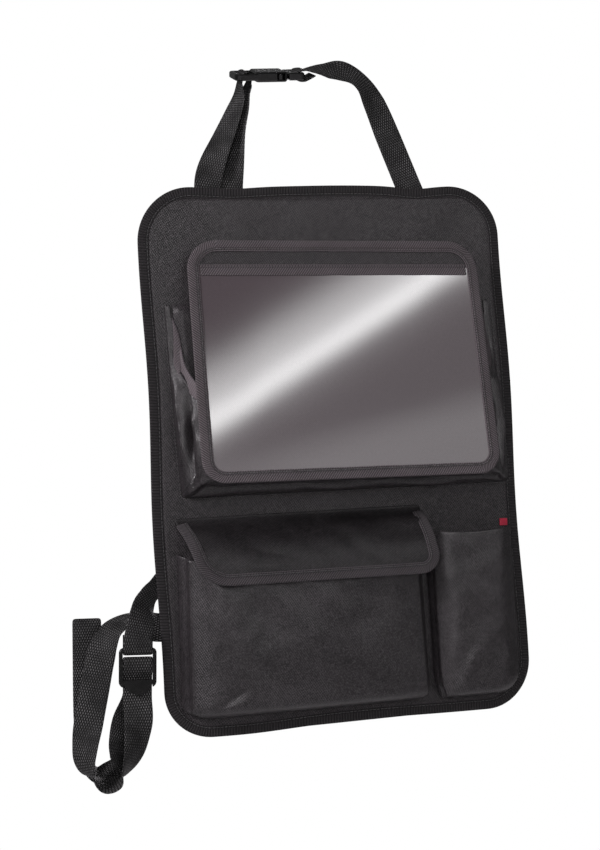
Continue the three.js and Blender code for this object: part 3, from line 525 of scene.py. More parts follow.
def gridPiece(name, rows, columns, place, clothAt, thickness, level=1, closed=False, side=0.0):
    bpy.ops.object.select_all(action="DESELECT")
    bpy.ops.mesh.primitive_grid_add(x_subdivisions=columns, y_subdivisions=rows, size=1)
    piece = bpy.context.object
    piece.name = name
    mesh = piece.data
    mesh.name = name
    layer = mesh.uv_layers.active
    layer.name = "cloth"
    spots = [(vertex.co.x + 0.5, vertex.co.y + 0.5) for vertex in mesh.vertices]
    for loop in mesh.loops:
        u, v = spots[loop.vertex_index]
        across, along = clothAt(u, v)
        layer.data[loop.index].uv = (across * mm, along * mm)
    for vertex, (u, v) in zip(mesh.vertices, spots):
        vertex.co = place(u, v) * mm
    selectOnly(piece)
    if closed:
        bpy.ops.object.mode_set(mode="EDIT")
        bpy.ops.mesh.select_all(action="SELECT")
        bpy.ops.mesh.remove_doubles(threshold=0.00001)
        bpy.ops.object.mode_set(mode="OBJECT")
    if thickness:
        wall = piece.modifiers.new("wall", "SOLIDIFY")
        wall.thickness = thickness * mm
        wall.offset = side
        wall.use_even_offset = False
    if level:
        rounding = piece.modifiers.new("rounding", "SUBSURF")
        rounding.levels = level
        rounding.render_levels = level
    applyModifiers(piece)
    smoothFaces()
    return piece


def flatCloth(place):
    def clothAt(u, v):
        spot = place(u, v)
        return spot.x, spot.z

    return clothAt


# Sizes shared by neighbours, in millimetres
tape = {"leaf": 12.0, "thickness": 0.8, "puff": 0.35}
clothThickness = 1.2
filmThickness = 0.5
seamGap = 0.15
turnGap = 0.35
panelThickness = 3.0
clothFace = -panelThickness - seamGap - clothThickness / 2


# Panel
panelSize = {
    "width": 400.0, "height": 571.0, "topRadius": 57.0, "bottomRadius": 50.0,
    "rows": 150, "columns": 120, "skin": 1.4, "rimInset": 0.9,
}


def cornerRadii(size):
    return [size["topRadius"], size["bottomRadius"], size["bottomRadius"], size["topRadius"]]


def panelOutline(size, arcSteps, edgeLength):
    right, top = size["width"] / 2, size["height"] / 2
    corners = [(-right, top), (-right, -top), (right, -top), (right, top)]
    outline = roundedPolygon(corners, cornerRadii(size), arcSteps, edgeLength)
    shaped = []
    for x, z, inX, inZ in outline:
        upper = 1.2 * bell(x, 20, 60) - 2.2 * bell(x, -98, 30) - 3.2 * bell(x, 104, 24)
        lower = 2.2 * bell(x, 10, 90) - 1.5 * bell(x, -110, 50)
        sides = 1.6 * math.sin(z / 45) * (1 - abs(inZ))
        lift = (upper if z > 0 else lower) * abs(inZ)
        shaped.append((x + sides, z + lift, inX, inZ))
    return shaped


boardOutline = panelOutline(panelSize, 20, 7)


def panelRelief(x, z):
    edge = min(panelSize["width"] / 2 - abs(x), panelSize["height"] / 2 - abs(z))
    calm = smooth((edge - 8) / 30)
    dents = 1.3 * wobble(x, z, 0, 58, 3.1) + 0.45 * wobble(x, z, 0, 21, 8.3)
    top = smooth((z - 180) / 60)
    pleats = 0.5 * math.sin(x / 11 + 1.2 * wobble(x, z, 0, 60, 1)) * top * bell(z, 255, 26)
    return calm * (0.8 + dents + pleats)


def panelPiece():
    rim = insetBy(boardOutline, panelSize["rimInset"])
    lowest = min(p[1] for p in rim) + 0.1
    highest = max(p[1] for p in rim) - 3.4

    def place(u, v):
        z = mix(lowest, highest, mix(v, eased(v), 0.7))
        left, right = spanAt(rim, z)
        x = mix(left, right, mix(u, eased(u), 0.5))
        pressed = smooth((tape["leaf"] - min(x - left, right - x, z - lowest, highest - z)) / 3)
        front = mix(-panelThickness + panelRelief(x, z) * 0.9, -panelThickness + 0.9, pressed)
        return Vector((x, front, z))

    rows, columns, skin = (panelSize[key] for key in ("rows", "columns", "skin"))
    return gridPiece("panelBoard", rows, columns, place, flatCloth(place), skin, level=0, side=-1.0)


panelBoard = panelPiece()
dress(panelBoard, panelCloth, ["main_panel"])


# A tape folded over an outline: the section lists inset and depth, and sectionAt turns both into a place
def tapePiece(name, outline, section, sectionAt, closed, material, nodes):
    count, columns = len(outline), len(section) - 1
    spans = count if closed else count - 1
    walk = walkAlong([point[:2] for point in outline + outline[:1]])
    reach = walkAlong(section)

    def place(u, v):
        index = round(v * spans)
        x, z, inX, inZ = outline[index % count]
        inset, depth = section[round(u * columns)]
        wave = 0.35 * wobble(x, z, inset, 17, 5.0) if inset > 8 else 0
        return sectionAt(x + inX * (inset + wave), z + inZ * (inset + wave), depth)

    def clothAt(u, v):
        return reach[-1] - reach[round(u * columns)], walk[round(v * spans)]

    piece = gridPiece(name, spans, columns, place, clothAt, tape["thickness"], level=1, closed=closed)
    dress(piece, material, nodes)


def foldedSection(back, front, puff):
    half = tape["thickness"] / 2
    leaf = tape["leaf"]
    middle = (back + front) / 2
    return [
        (leaf, back - half), (leaf - 1, back - half), (leaf / 2, back - half), (2, back - half),
        (0.9, back - half - 0.15), (0.42, back - half - 0.55), (0.4, middle),
        (0.42, front + half + 0.55), (0.9, front + half + 0.1), (2, front + half - puff * 0.4),
        (leaf / 2, front + half - puff), (leaf - 2.2, front + half - puff * 0.5),
        (leaf - 1.2, front + half + 0.05), (leaf - 0.5, front + half - 0.05), (leaf, front + half + 0.25),
    ]


tapePiece(
    "panelBinding", boardOutline, foldedSection(0.0, -panelThickness, tape["puff"]),
    lambda x, z, depth: Vector((x, depth, z)),
    True, panelTape, ["panel_binding"],
)
note("panel")


# Rows of thread: every stitch is a short closed bar along a path of places and outward directions
threadLook = {"pitch": 4.2, "length": 3.0, "radius": 0.3, "sides": 6, "start": 0.6}
threadFinish = patchFinish("paleThread", 0.075, 1800)


def stitchRow(name, track, closed=False):
    look, sides = threadLook, threadLook["sides"]
    spots = track + track[:1] if closed else track
    walk = walkAlong([place for place, outward in spots])
    vertices, faces = [], []
    index, start = 0, look["start"]
    while start + look["length"] < walk[-1]:
        middle = start + look["length"] / 2
        while walk[index + 1] < middle:
            index += 1
        t = (middle - walk[index]) / (walk[index + 1] - walk[index])
        place = spots[index][0].lerp(spots[index + 1][0], t)
        tangent = (spots[index + 1][0] - spots[index][0]).normalized()
        outward = spots[index][1]
        aside = tangent.cross(outward).normalized()
        base = len(vertices)
        for along, swell in ((-0.5, 0.45), (-0.3, 1.0), (0.3, 1.0), (0.5, 0.45)):
            for k in range(sides):
                angle = 2 * math.pi * k / sides
                ring = (aside * math.cos(angle) + outward * math.sin(angle)) * look["radius"] * swell
                sink = outward * (0.1 if abs(along) < 0.4 else -0.12)
                vertices.append((place + tangent * along * look["length"] + ring + sink) * mm)
        for r in range(3):
            low, high = base + r * sides, base + (r + 1) * sides
            for k in range(sides):
                after = (k + 1) % sides
                faces.append((low + k, low + after, high + after, high + k))
        faces.append(tuple(base + k for k in reversed(range(sides))))
        faces.append(tuple(base + 3 * sides + k for k in range(sides)))
        start += look["pitch"]
    mesh = bpy.data.meshes.new(name)
    mesh.from_pydata(vertices, [], faces)
    piece = bpy.data.objects.new(name, mesh)
    bpy.context.scene.collection.objects.link(piece)
    selectOnly(piece)
    smoothFaces()
    dress(piece, threadFinish, [])


forward = Vector((0, -1, 0))
stitchInset = tape["leaf"] - tapeLook["stitch"]


def flatSeam(outline, inset, depth, outward):
    return [(Vector((x, depth, z)), outward) for x, z, inX, inZ in insetBy(outline, inset)]


stitchRow("panelStitchesFront", flatSeam(boardOutline, stitchInset, -panelThickness - 0.75, forward), True)
stitchRow("panelStitchesBack", flatSeam(boardOutline, stitchInset, 0.85, -forward), True)


# Tablet sleeve, in its own plane: across, depth toward the front, and height
sleeve = {
    "thickness": 1.6,
    "topRadius": 32.0,
    "bottomRadius": 24.0,
    "filmTop": 27.0,
    "filmBulge": 0.1,
    "filmRise": 60.0,
    "bottomLeft": (-154.0, -28.0),
    "bottomRight": (167.0, -33.0),
    "topRight": (164.0, 221.0),
    "topLeft": (-154.0, 226.0),
    "bottomDepth": 44.0,
    "topDepth": 14.0,
}
sleeveWidth = sleeve["topRight"][0] - sleeve["topLeft"][0]
sleeveHeight = sleeve["topLeft"][1] - sleeve["bottomLeft"][1]
sleeveLean = math.atan2(sleeve["bottomDepth"] - sleeve["topDepth"], sleeveHeight)
edgeInset = tape["thickness"] + seamGap
filmRim = sleeve["thickness"] + seamGap
sleeveFront = filmRim + filmThickness + seamGap
filmClear = tape["leaf"] + 1
filmTop = sleeveHeight - sleeve["filmTop"]


def onSleeve(across, depth, height):
    u, v = across / sleeveWidth, height / sleeveHeight
    bottom = [mix(*ends, u) for ends in zip(sleeve["bottomLeft"], sleeve["bottomRight"])]
    top = [mix(*ends, u) for ends in zip(sleeve["topLeft"], sleeve["topRight"])]
    x, z = (mix(*ends, v) for ends in zip(bottom, top))
    y = -mix(sleeve["bottomDepth"], sleeve["topDepth"], v)
    return Vector((x, y - depth * math.cos(sleeveLean), z + depth * math.sin(sleeveLean)))


sleeveCorners = [(0, sleeveHeight), (0, 0), (sleeveWidth, 0), (sleeveWidth, sleeveHeight)]
sleeveOutline = roundedPolygon(sleeveCorners, cornerRadii(sleeve), 14, 7)
sleeveRim = insetBy(sleeveOutline, edgeInset)


def sleeveBackPiece():
    def place(u, v):
        height = mix(edgeInset, sleeveHeight - edgeInset, mix(v, eased(v), 0.7))
        left, right = spanAt(sleeveRim, height)
        return onSleeve(mix(left, right, u), sleeve["thickness"] / 2, height)

    piece = gridPiece("sleeveBack", 40, 40, place, flatCloth(place), sleeve["thickness"], level=0)
    dress(piece, panelCloth, ["sleeve_back"])


sleeveBackPiece()
tapePiece(
    "sleeveBinding", sleeveOutline,
    foldedSection(seamGap + tape["thickness"], -sleeveFront - tape["thickness"], tape["puff"]),
    lambda across, height, depth: onSleeve(across, -depth, height),
    True, sleeveTape, ["sleeve_binding"],
)
sleeveOut = (onSleeve(0, 1, 0) - onSleeve(0, 0, 0)).normalized()
sleeveStitchDepth = sleeveFront + 2 * tape["thickness"] - 0.1
sleeveSeam = insetBy(sleeveOutline, stitchInset)
stitchRow("sleeveStitches", [(onSleeve(x, sleeveStitchDepth, z), sleeveOut) for x, z, *_ in sleeveSeam], True)


def filmDepth(across, height):
    side = min(across, sleeveWidth - across) - filmClear
    rise = smooth(side / sleeve["filmRise"]) * smooth((height - filmClear) / sleeve["filmRise"])
    return filmRim + filmThickness / 2 + sleeve["filmBulge"] * rise


def filmPiece():
    def spot(u, v):
        height = mix(edgeInset, filmTop, v)
        left, right = spanAt(sleeveRim, height)
        return mix(left, right, u), height

    def place(u, v):
        across, height = spot(u, v)
        return onSleeve(across, filmDepth(across, height), height)

    piece = gridPiece("filmWindow", 70, 84, place, spot, filmThickness, level=0)
    dress(piece, clearFilm, ["sleeve_window"])


filmPiece()


def windowTapePiece():
    half = tape["thickness"] / 2
    face = filmThickness / 2 + seamGap + half
    leaf = tape["leaf"]
    section = [
        (leaf, face), (leaf - 0.6, face + 0.1), (leaf - 2, face + 0.2), (leaf / 2, face + 0.35),
        (2, face + 0.2), (0.9, face + 0.05), (0.45, face - 0.3), (0.4, 0),
    ]
    left, right = filmClear + turnGap, sleeveWidth - filmClear - turnGap
    steps = 80
    outline = [(mix(left, right, i / steps), filmTop + edgeInset, 0, -1) for i in range(steps + 1)]
    tapePiece(
        "windowTopTape", outline, section,
        lambda across, height, depth: onSleeve(across, filmDepth(across, filmTop) + depth, height),
        False, sleeveTape, ["window_top_binding"],
    )


windowTapePiece()
note("sleeve")


# Tablet pocket: its backing on the panel and the folded bellows
tabletPocket = {
    "topLeft": (-178.0, 161.0),
    "bottomLeft": (-170.0, -40.0),
    "bottomRight": (191.0, -41.0),
    "topRight": (181.5, 159.0),
    "attachHeight": 98.0,
    "attachInset": 5.0,
    "flange": 7.0,
    "corner": 5.0,
    "foldOut": 5.5,
    "foldIn": 6.2,
    "ridge": 3.4,
    "sideSteps": 40,
    "cornerSteps": 10,
    "baseSteps": 60,
    "foldSteps": 26,
}


def backingPiece():
    inset = tabletPocket["flange"] + 2

    def rowEnd(left, right, u):
        (x, z), (farX, farZ) = tabletPocket[left], tabletPocket[right]
        return mix(x + inset, farX - inset, u), mix(z, farZ, u)

    def place(u, v):
        x, z = rowEnd("bottomLeft", "bottomRight", u)
        topX, topZ = rowEnd("topLeft", "topRight", u)
        return Vector((mix(x, topX, v), clothFace, mix(z + inset, topZ, v)))

    piece = gridPiece("tabletPocketBacking", 20, 30, place, flatCloth(place), clothThickness, level=0)
    dress(piece, panelCloth, ["tablet_pocket_backing"])


backingPiece()

sideFold = [0, 0, 0.12, 0.7, 1, 1, 0.8, 0.55, 0.35]
sideSag = [1, 1, 0.35, 0.05, 0, 0, 0, 0, 0]
foldPattern = Path([
    (0, 0, 0), (0.12, 0.5, 0), (0.27, 1.15, 0), (0.38, 0.35, 0), (0.49, -1.75, 0),
    (0.58, -1.5, 0), (0.72, 0.5, 0), (0.88, 0.3, 0), (1, 0, 0),
])
attachDepth = -seamGap - tape["thickness"] - turnGap - clothThickness / 2


def bellowsStations():
    pocket = tabletPocket
    inset, corner, radius = pocket["attachInset"], pocket["corner"], sleeve["bottomRadius"]
    sideSteps, cornerSteps, baseSteps = (pocket[key] for key in ("sideSteps", "cornerSteps", "baseSteps"))
    inner = radius - inset
    stations = []

    def put(base, inward, across, height, fold, sag, ridge=0.0, loose=1.0):
        stations.append({
            "base": Vector((base[0], clothFace, base[1])), "inward": inward,
            "across": across, "height": height, "fold": fold, "sag": sag,
            "ridge": ridge, "loose": loose,
        })

    def side(edgeTop, edgeBottom, direction, across, order):
        for i in order:
            t = i / sideSteps
            x = mix(edgeTop[0], edgeBottom[0], t)
            z = mix(edgeTop[1], edgeBottom[1] + corner, t)
            height = mix(pocket["attachHeight"], radius, t)
            loose = smooth((t - 0.1) / 0.22)
            put((x, z), (direction, 0), across, height, table(sideFold, t), table(sideSag, t), 0.0, loose)

    def turnCorner(edge, sign, centre, direction):
        for i in range(1, cornerSteps):
            x, z = direction(i / cornerSteps * math.pi / 2)
            base = (edge[0] + corner * (sign - x), edge[1] + corner * (1 - z))
            ridge = pocket["ridge"] * bell(i, cornerSteps / 2, 1.6)
            put(base, (x, z), centre - inner * x, radius - inner * z, 0.1, 0, ridge, 0.4)

    side(pocket["topLeft"], pocket["bottomLeft"], 1, inset, range(sideSteps + 1))
    turnCorner(pocket["bottomLeft"], 1, radius, lambda angle: (math.cos(angle), math.sin(angle)))
    for i in range(baseSteps + 1):
        t = i / baseSteps
        x = mix(pocket["bottomLeft"][0] + corner, pocket["bottomRight"][0] - corner, t)
        z = mix(pocket["bottomLeft"][1], pocket["bottomRight"][1], t)
        across = mix(radius, sleeveWidth - radius, t)
        put((x, z), (0, 1), across, inset, 0.45 + 0.12 * math.sin(t * 19), 0, 0, 0.6)
    farCentre = sleeveWidth - radius
    turnCorner(pocket["bottomRight"], -1, farCentre, lambda angle: (-math.sin(angle), math.cos(angle)))
    side(pocket["topRight"], pocket["bottomRight"], -1, sleeveWidth - inset, range(sideSteps, -1, -1))
    return stations


def bellowsRow(station, phase):
    base, sag, fold = station["base"], station["sag"], station["fold"]
    towardX, towardZ = station["inward"]
    flange = tabletPocket["flange"]
    attach = onSleeve(station["across"], attachDepth, station["height"])
    inner = onSleeve(station["across"] + towardX * flange, attachDepth, station["height"] + towardZ * flange)
    run = (attach - base).normalized()
    inward = Vector((towardX, 0, towardZ))
    outward = (run * inward.dot(run) - inward).normalized()
    row = [base + inward * flange, base + inward * flange * 0.5]
    steps = tabletPocket["foldSteps"]
    for k in range(steps + 1):
        along, offset, _ = foldPattern.at(k / steps)
        along = clamp(along)
        crease = 1 + 0.22 * math.sin(phase * 1.9 + along * 7)
        reach = (tabletPocket["foldOut"] if offset > 0 else tabletPocket["foldIn"]) * offset * fold * crease
        hang = math.sin(math.pi * along) * sag
        place = base.lerp(attach, along) + outward * reach
        pleat = 1 - 2.4 * abs(wobble(place.x, place.y, place.z * 0.7, 21, 2.0))
        crumple = 1.7 * pleat + 0.8 * wobble(place.x, place.y, place.z, 9, 2.0)
        place += outward * crumple * math.sin(math.pi * along) * station["loose"]
        shelf = sag * bell(along, 0.24, 0.2) * smooth(along / 0.1)
        place.x += towardX * 7 * shelf
        place.y = min(place.y + 5.5 * hang + 7 * shelf, clothFace)
        place.z -= 13 * hang
        place += (outward - Vector((0, 0.6, 0))) * station["ridge"] * math.sin(math.pi * along)
        row.append(place)
    return row + [attach.lerp(inner, 0.5), inner]


def rowsPiece(name, rows, thickness, level, side=0.0):
    middle = len(rows[0]) // 2
    walkDown = walkAlong([row[middle] for row in rows])
    walkAcross = []
    for row in rows:
        line = walkAlong(row)
        walkAcross.append([value - line[middle] for value in line])
    last, width = len(rows) - 1, len(rows[0]) - 1

    def place(u, v):
        return rows[round((1 - v) * last)][round(u * width)]

    def clothAt(u, v):
        i, j = round((1 - v) * last), round(u * width)
        return walkAcross[i][j], -walkDown[i]

    return gridPiece(name, last, width, place, clothAt, thickness, level, side=side)


stations = bellowsStations()
bellows = [bellowsRow(station, i / 5) for i, station in enumerate(stations)]
bellowsBase = [(station["base"].x, station["base"].z, *station["inward"]) for station in stations]
seamDepth = clothFace - clothThickness / 2 - 0.05
stitchRow("tabletPocketStitches", flatSeam(bellowsBase, -1.4, seamDepth, forward))
tabletGusset = rowsPiece("tabletGusset", bellows, clothThickness, 1)
dress(tabletGusset, pocketCloth, ["tablet_gusset"])


def edgeFall(surface, column, reach):
    edge = surface[0]
    before = (0.0, surface[0][column])
    for row in surface[1:24]:
        place = row[column]
        near = min((place - spot).length for spot in edge)
        if near >= reach:
            t = (reach - before[0]) / max(near - before[0], 1e-4)
            return before[1].lerp(place, t)
        before = (near, place)
    return before[1]


def bellowsTape(name, surface, node):
    near = clothThickness / 2 + tape["thickness"] / 2 + 0.25
    leaf = tape["leaf"]
    edge = surface[0]
    rows = []
    for i in range(5, len(edge) - 2):
        start = min(i - 5, 6) / 6
        across = (edge[i + 1] - edge[i - 1]).normalized()
        falls = [edgeFall(surface, i, reach) for reach in (1.2, leaf * 0.5, leaf)]
        normal = (falls[1] - edge[i]).cross(across).normalized()
        drop = (falls[0] - edge[i]).normalized()
        outside = [spot + normal * (near + 0.1 * start) for spot in falls]
        inside = [spot - normal * near for spot in falls]
        rows.append([
            *reversed(outside),
            edge[i] - drop * 0.55 + normal * near * 0.75,
            edge[i] - drop * 0.9,
            edge[i] - drop * 0.55 - normal * near * 0.75,
            *inside,
        ])
    dress(rowsPiece(name, rows, tape["thickness"], 1), sleeveTape, [node])


bellowsTape("gussetTapeLeft", bellows, "gusset_binding_left")
bellowsTape("gussetTapeRight", bellows[::-1], "gusset_binding_right")
note("tablet pocket")


# Lower pockets
cargoPocket = {
    "top": -104.0, "bottom": -266.0,
    "base": ((-178.0, 84.0), (-182.0, 85.0)),
    "front": ((-168.0, 73.0), (-172.0, 77.0)),
    "depth": (25.0, 24.0), "bulge": 5.0, "edgeDrop": 6.0, "edgeShare": 0.2,
    "cornerLeft": 20.0, "cornerRight": 9.0, "cornerHeight": 15.0,
    "bottomRound": 15.0, "wallRise": 7.0, "mouthSag": 3.0, "pleat": 1.5, "columns": 70,
}
sidePocket = {
    "top": -90.0, "bottom": -268.0,
    "base": ((90.0, 189.0), (91.0, 189.0)),
    "front": ((95.0, 183.0), (96.0, 182.0)),
    "depth": (19.0, 18.0), "bulge": 4.0, "edgeDrop": 7.0, "edgeShare": 0.26,
    "cornerLeft": 7.0, "cornerRight": 18.0, "cornerHeight": 30.0,
    "bottomRound": 12.0, "wallRise": 0.0, "mouthSag": 3.0, "pleat": 0.8, "columns": 34,
}


def edgeAt(spec, edge, side, v):
    return mix(spec[edge][0][side], spec[edge][1][side], v)


def frontDepth(spec, along, v):
    fullness = 0.4 + 0.6 * math.sin(math.pi * min(1, v + 0.15))
    rounding = (1 - clamp(min(along, 1 - along) / spec["edgeShare"])) ** 2
    bulge = spec["bulge"] * math.sin(math.pi * along) * fullness
    return mix(*spec["depth"], v) + bulge - spec["edgeDrop"] * rounding


pocketSteps = {"straight": 44, "round": 14, "wall": 10}


def pocketRows(spec, relief):
    straightSteps, roundSteps, wallSteps = (pocketSteps[key] for key in ("straight", "round", "wall"))
    straight = spec["top"] - spec["bottom"] - spec["bottomRound"]
    heights = [(spec["top"] - straight * i / straightSteps, 0.0) for i in range(straightSteps + 1)]
    for i in range(1, roundSteps + 1):
        turn = math.radians(90 * i / roundSteps)
        heights.append((spec["bottom"] + spec["bottomRound"] * (1 - math.sin(turn)), turn))
    wallPath = Path([(0, 0, 0), (0.3, -0.3, 0), (0.62, 0.9, 0), (0.9, -0.25, 0), (1, 0, 0)])
    rows = []
    for height, turn in heights:
        swell = math.cos(turn) if turn else 1.0
        lowered = (spec["bottom"] + spec["cornerHeight"] - height) / spec["cornerHeight"]
        squeeze = max(0, lowered, math.sin(turn)) ** 2
        rise = spec["wallRise"] * smooth(1 - (spec["top"] - height) / 20)
        v = (spec["top"] - height) / (spec["top"] - spec["bottom"])
        baseLeft = edgeAt(spec, "base", 0, v) + spec["cornerLeft"] * squeeze
        baseRight = edgeAt(spec, "base", 1, v) - spec["cornerRight"] * squeeze
        frontLeft = max(edgeAt(spec, "front", 0, v), baseLeft + 6)
        frontRight = min(edgeAt(spec, "front", 1, v), baseRight - 4)
        depth = (mix(*spec["depth"], v) - spec["edgeDrop"]) * swell

        def wall(base, front, t, sign):
            spread, pinch, _ = wallPath.at(t)
            x = mix(base, front, spread) + pinch * spec["pleat"] * swell * sign
            return Vector((x, clothFace - depth * spread, height + rise * (1 - spread)))

        row = [Vector((baseLeft + 6 * swell, clothFace, height + rise))]
        row += [wall(baseLeft, frontLeft, k / wallSteps, 1) for k in range(wallSteps)]
        for i in range(spec["columns"] + 1):
            along = i / spec["columns"]
            out = frontDepth(spec, along, v) * swell
            sag = spec["mouthSag"] * math.sin(math.pi * along) * smooth(1 - v * 6)
            x = mix(frontLeft, frontRight, along)
            out += relief(x, height, along) * swell
            row.append(Vector((x, clothFace - out, height - sag)))
        row += [wall(baseRight, frontRight, 1 - k / wallSteps, -1) for k in range(1, wallSteps + 1)]
        row.append(Vector((baseRight - 5 * swell, clothFace, height + rise)))
        rows.append(row)
    return rows


def cargoRelief(x, z, along):
    calm = smooth(along * 9) * smooth((1 - along) * 9)
    soft = 1.7 * wobble(x, z, 0, 46, 6.2) + 0.5 * wobble(x, z, 0, 17, 2.2)
    crease = 1.1 * (1 - 3 * abs(wobble(x + z * 0.5, z * 0.7, 0, 48, 3.3)))
    dart = 2.2 * bell(x + 150 - (z + 258) * 1.5, 0, 7) * bell(z, -250, 14)
    facet = 2.2 * bell(x + 128 + (z + 175) * 0.42, 0, 17) * smooth((z + 250) / 50)
    pulled = 1.8 * bell(x - 40 + (z + 128) * 0.5, 0, 9) * bell(z, -128, 26)
    return calm * (soft + crease + facet + pulled) - dart * calm


def sideRelief(x, z, along):
    calm = smooth(along * 7) * smooth((1 - along) * 7)
    soft = 1.3 * wobble(x, z, 0, 34, 4.4) + 0.6 * wobble(x, z, 0, 16, 9.2)
    crease = 0.6 * (1 - 3 * abs(wobble(x * 0.9 - z * 0.4, z * 0.6, 0, 40, 5.5)))
    low = 1.3 * bell(x - 128 - (z + 230) * 0.55, 0, 7) * bell(z, -235, 20)
    return calm * (soft + crease + low)


for name, spec, relief, node in (
    ("cargoPocket", cargoPocket, cargoRelief, "cargo_pocket"),
    ("sidePocket", sidePocket, sideRelief, "side_pocket"),
):
    dress(rowsPiece(name, pocketRows(spec, relief), clothThickness, 1), pocketCloth, [node])
note("lower pockets")


# Flap: drawn flat as x and distance down from its seam, then laid along a falling profile
flap = {
    "topLeft": (-181.0, 0.0), "bottomLeft": (-158.0, 86.0),
    "bottomRight": (96.0, 88.0), "topRight": (87.0, 0.0),
    "leftRadius": 37.0, "rightRadius": 21.0, "rows": 46, "columns": 70,
    "profile": [
        (-3.75, -59.5), (-3.75, -62.5), (-8, -69), (-19.5, -78.5), (-31, -93), (-38, -112), (-41, -133.5),
    ],
}
flapPath = Path([(0, y, z) for y, z in flap["profile"]])
flapWalk = flapPath.byLength(240)
flapLength = max(flap["bottomLeft"][1], flap["bottomRight"][1])


def flapTime(distance):
    goal = clamp(distance / flapLength) * flapWalk[-1]
    index = 0
    while index < len(flapWalk) - 2 and flapWalk[index + 1] < goal:
        index += 1
    span = flapWalk[index + 1] - flapWalk[index]
    return (index + (goal - flapWalk[index]) / span) / (len(flapWalk) - 1)


def onFlap(x, distance, lift=0.0):
    t = flapTime(distance)
    place, tangent = flapPath.at(t), flapPath.tangent(t)
    return Vector((x, place.y + lift * tangent.z, place.z - lift * tangent.y))


flapCorners = [(flap[key][0], -flap[key][1]) for key in ("topLeft", "bottomLeft", "bottomRight", "topRight")]
flapOutline = roundedPolygon(flapCorners, [1, flap["leftRadius"], flap["rightRadius"], 1], 14, 5)


def flapRelief(x, distance):
    inner = smooth((distance - 6) / 20) * smooth((flapLength - distance - 8) / 16)
    soft = 1.6 * wobble(x, distance, 0, 44, 7.7) + 0.6 * wobble(x, distance, 0, 19, 1.7)
    crease = 0.9 * (1 - 3 * abs(wobble(x, distance * 1.3, 0, 52, 4.1)))
    return inner * (soft + crease)


def flapPiece():
    rim = insetBy(flapOutline, edgeInset + 0.1)
    lowest = flapLength - 3.2
    rows = []
    for i in range(flap["rows"] + 1):
        distance = mix(0.02, 1, i / flap["rows"]) * lowest
        left, right = spanAt(rim, -distance)
        spots = [mix(left, right, k / flap["columns"]) for k in range(flap["columns"] + 1)]
        rows.append([onFlap(x, distance, -flapRelief(x, distance)) for x in spots])
    dress(rowsPiece("flapCloth", rows, clothThickness, 1), flapCloth, ["flap"])


flapPiece()
flapEdge = [(x, z, inX, inZ) for x, z, inX, inZ in flapOutline if z < -7 and (inX != 0 or inZ > 0)]


def flapTapePiece():
    half = clothThickness / 2 + 2 * turnGap
    section = foldedSection(half + tape["thickness"], -half - tape["thickness"], 0.3)
    tapePiece(
        "flapTape", flapEdge, section,
        lambda x, z, depth: onFlap(x, -z, -depth),
        False, flapEdgeTape, ["flap_binding"],
    )


def flapStitches():
    lift = clothThickness / 2 + 2 * turnGap + 1.45 * tape["thickness"]
    track = []
    for x, z, *_ in insetBy(flapEdge, stitchInset):
        outward = (onFlap(x, -z, 1) - onFlap(x, -z, 0)).normalized()
        track.append((onFlap(x, -z, lift), outward))
    stitchRow("flapStitches", track)


flapTapePiece()
flapStitches()


# The hook patch is placed by its share of the flap's length, the loop patch by its heights
patches = {
    "hookAcross": (-62, -26), "hookShare": (0.8, 0.6),
    "loopAcross": (-60, -28), "loopHeight": (-127, -113),
}


def patchPieces():
    def hookPlace(u, v):
        x, distance = mix(*patches["hookAcross"], u), mix(*patches["hookShare"], v) * flapLength
        return onFlap(x, distance, -clothThickness - 2 * seamGap)

    def loopPlace(u, v):
        x, z = mix(*patches["loopAcross"], u), mix(*patches["loopHeight"], v)
        fall = (cargoPocket["top"] - z) / (cargoPocket["top"] - cargoPocket["bottom"])
        left, right = (edgeAt(cargoPocket, "front", side, fall) for side in (0, 1))
        out = frontDepth(cargoPocket, (x - left) / (right - left), fall)
        return Vector((x, clothFace - out - clothThickness - turnGap, z))

    for name, place, material, node in (
        ("flapHookPatch", hookPlace, hookTape, "flap_hook_patch"),
        ("pocketLoopPatch", loopPlace, loopTape, "pocket_loop_patch"),
    ):
        piece = gridPiece(name, 12, 20, place, lambda u, v: (u * 36, v * 18), clothThickness, level=1)
        dress(piece, material, [node])


patchPieces()


redTab = {"across": (177, 186), "height": (-89.4, -81.5), "curl": 1.2, "thickness": 1.2}


def redTabPiece():
    def place(u, v):
        curl = redTab["curl"] * smooth(v) * math.sin(u * math.pi)
        return Vector((mix(*redTab["across"], u), clothFace - 0.3 - curl, mix(*redTab["height"], v)))

    piece = gridPiece("redTab", 10, 8, place, lambda u, v: (u * 9, v * 15), redTab["thickness"], level=1)
    dress(piece, redCloth, ["red_tab"])


redTabPiece()
note("flap")


# Buckle and lock frames, for the webbing that passes through them
buckle = {"origin": (-91.0, 0.0, 405.5), "pitch": 2.0, "tilt": 24.0}
bucklePitch, buckleTilt = math.radians(buckle["pitch"]), math.radians(buckle["tilt"])
lengthAxis = Vector((math.cos(bucklePitch), 0, math.sin(bucklePitch)))
widthAxis = Vector((0, math.cos(buckleTilt), math.sin(buckleTilt)))
widthAxis = (widthAxis - lengthAxis * widthAxis.dot(lengthAxis)).normalized()
liftAxis = lengthAxis.cross(widthAxis).normalized()


def onBuckle(along, across, lift):
    return Vector(buckle["origin"]) + lengthAxis * along + widthAxis * across + liftAxis * lift


lock = {"origin": (-226.0, -7.0, -228.5), "lean": 3.2}
lockTurn = math.radians(lock["lean"])
acrossLock = Vector((math.cos(lockTurn), 0, -math.sin(lockTurn)))


def onLock(y, z):
    return Vector((z * math.sin(lockTurn), y, z * math.cos(lockTurn))) + Vector(lock["origin"])


def buckleKeys(places, direction):
    return [(*onBuckle(along, 0, lift), *direction) for along, lift in places]


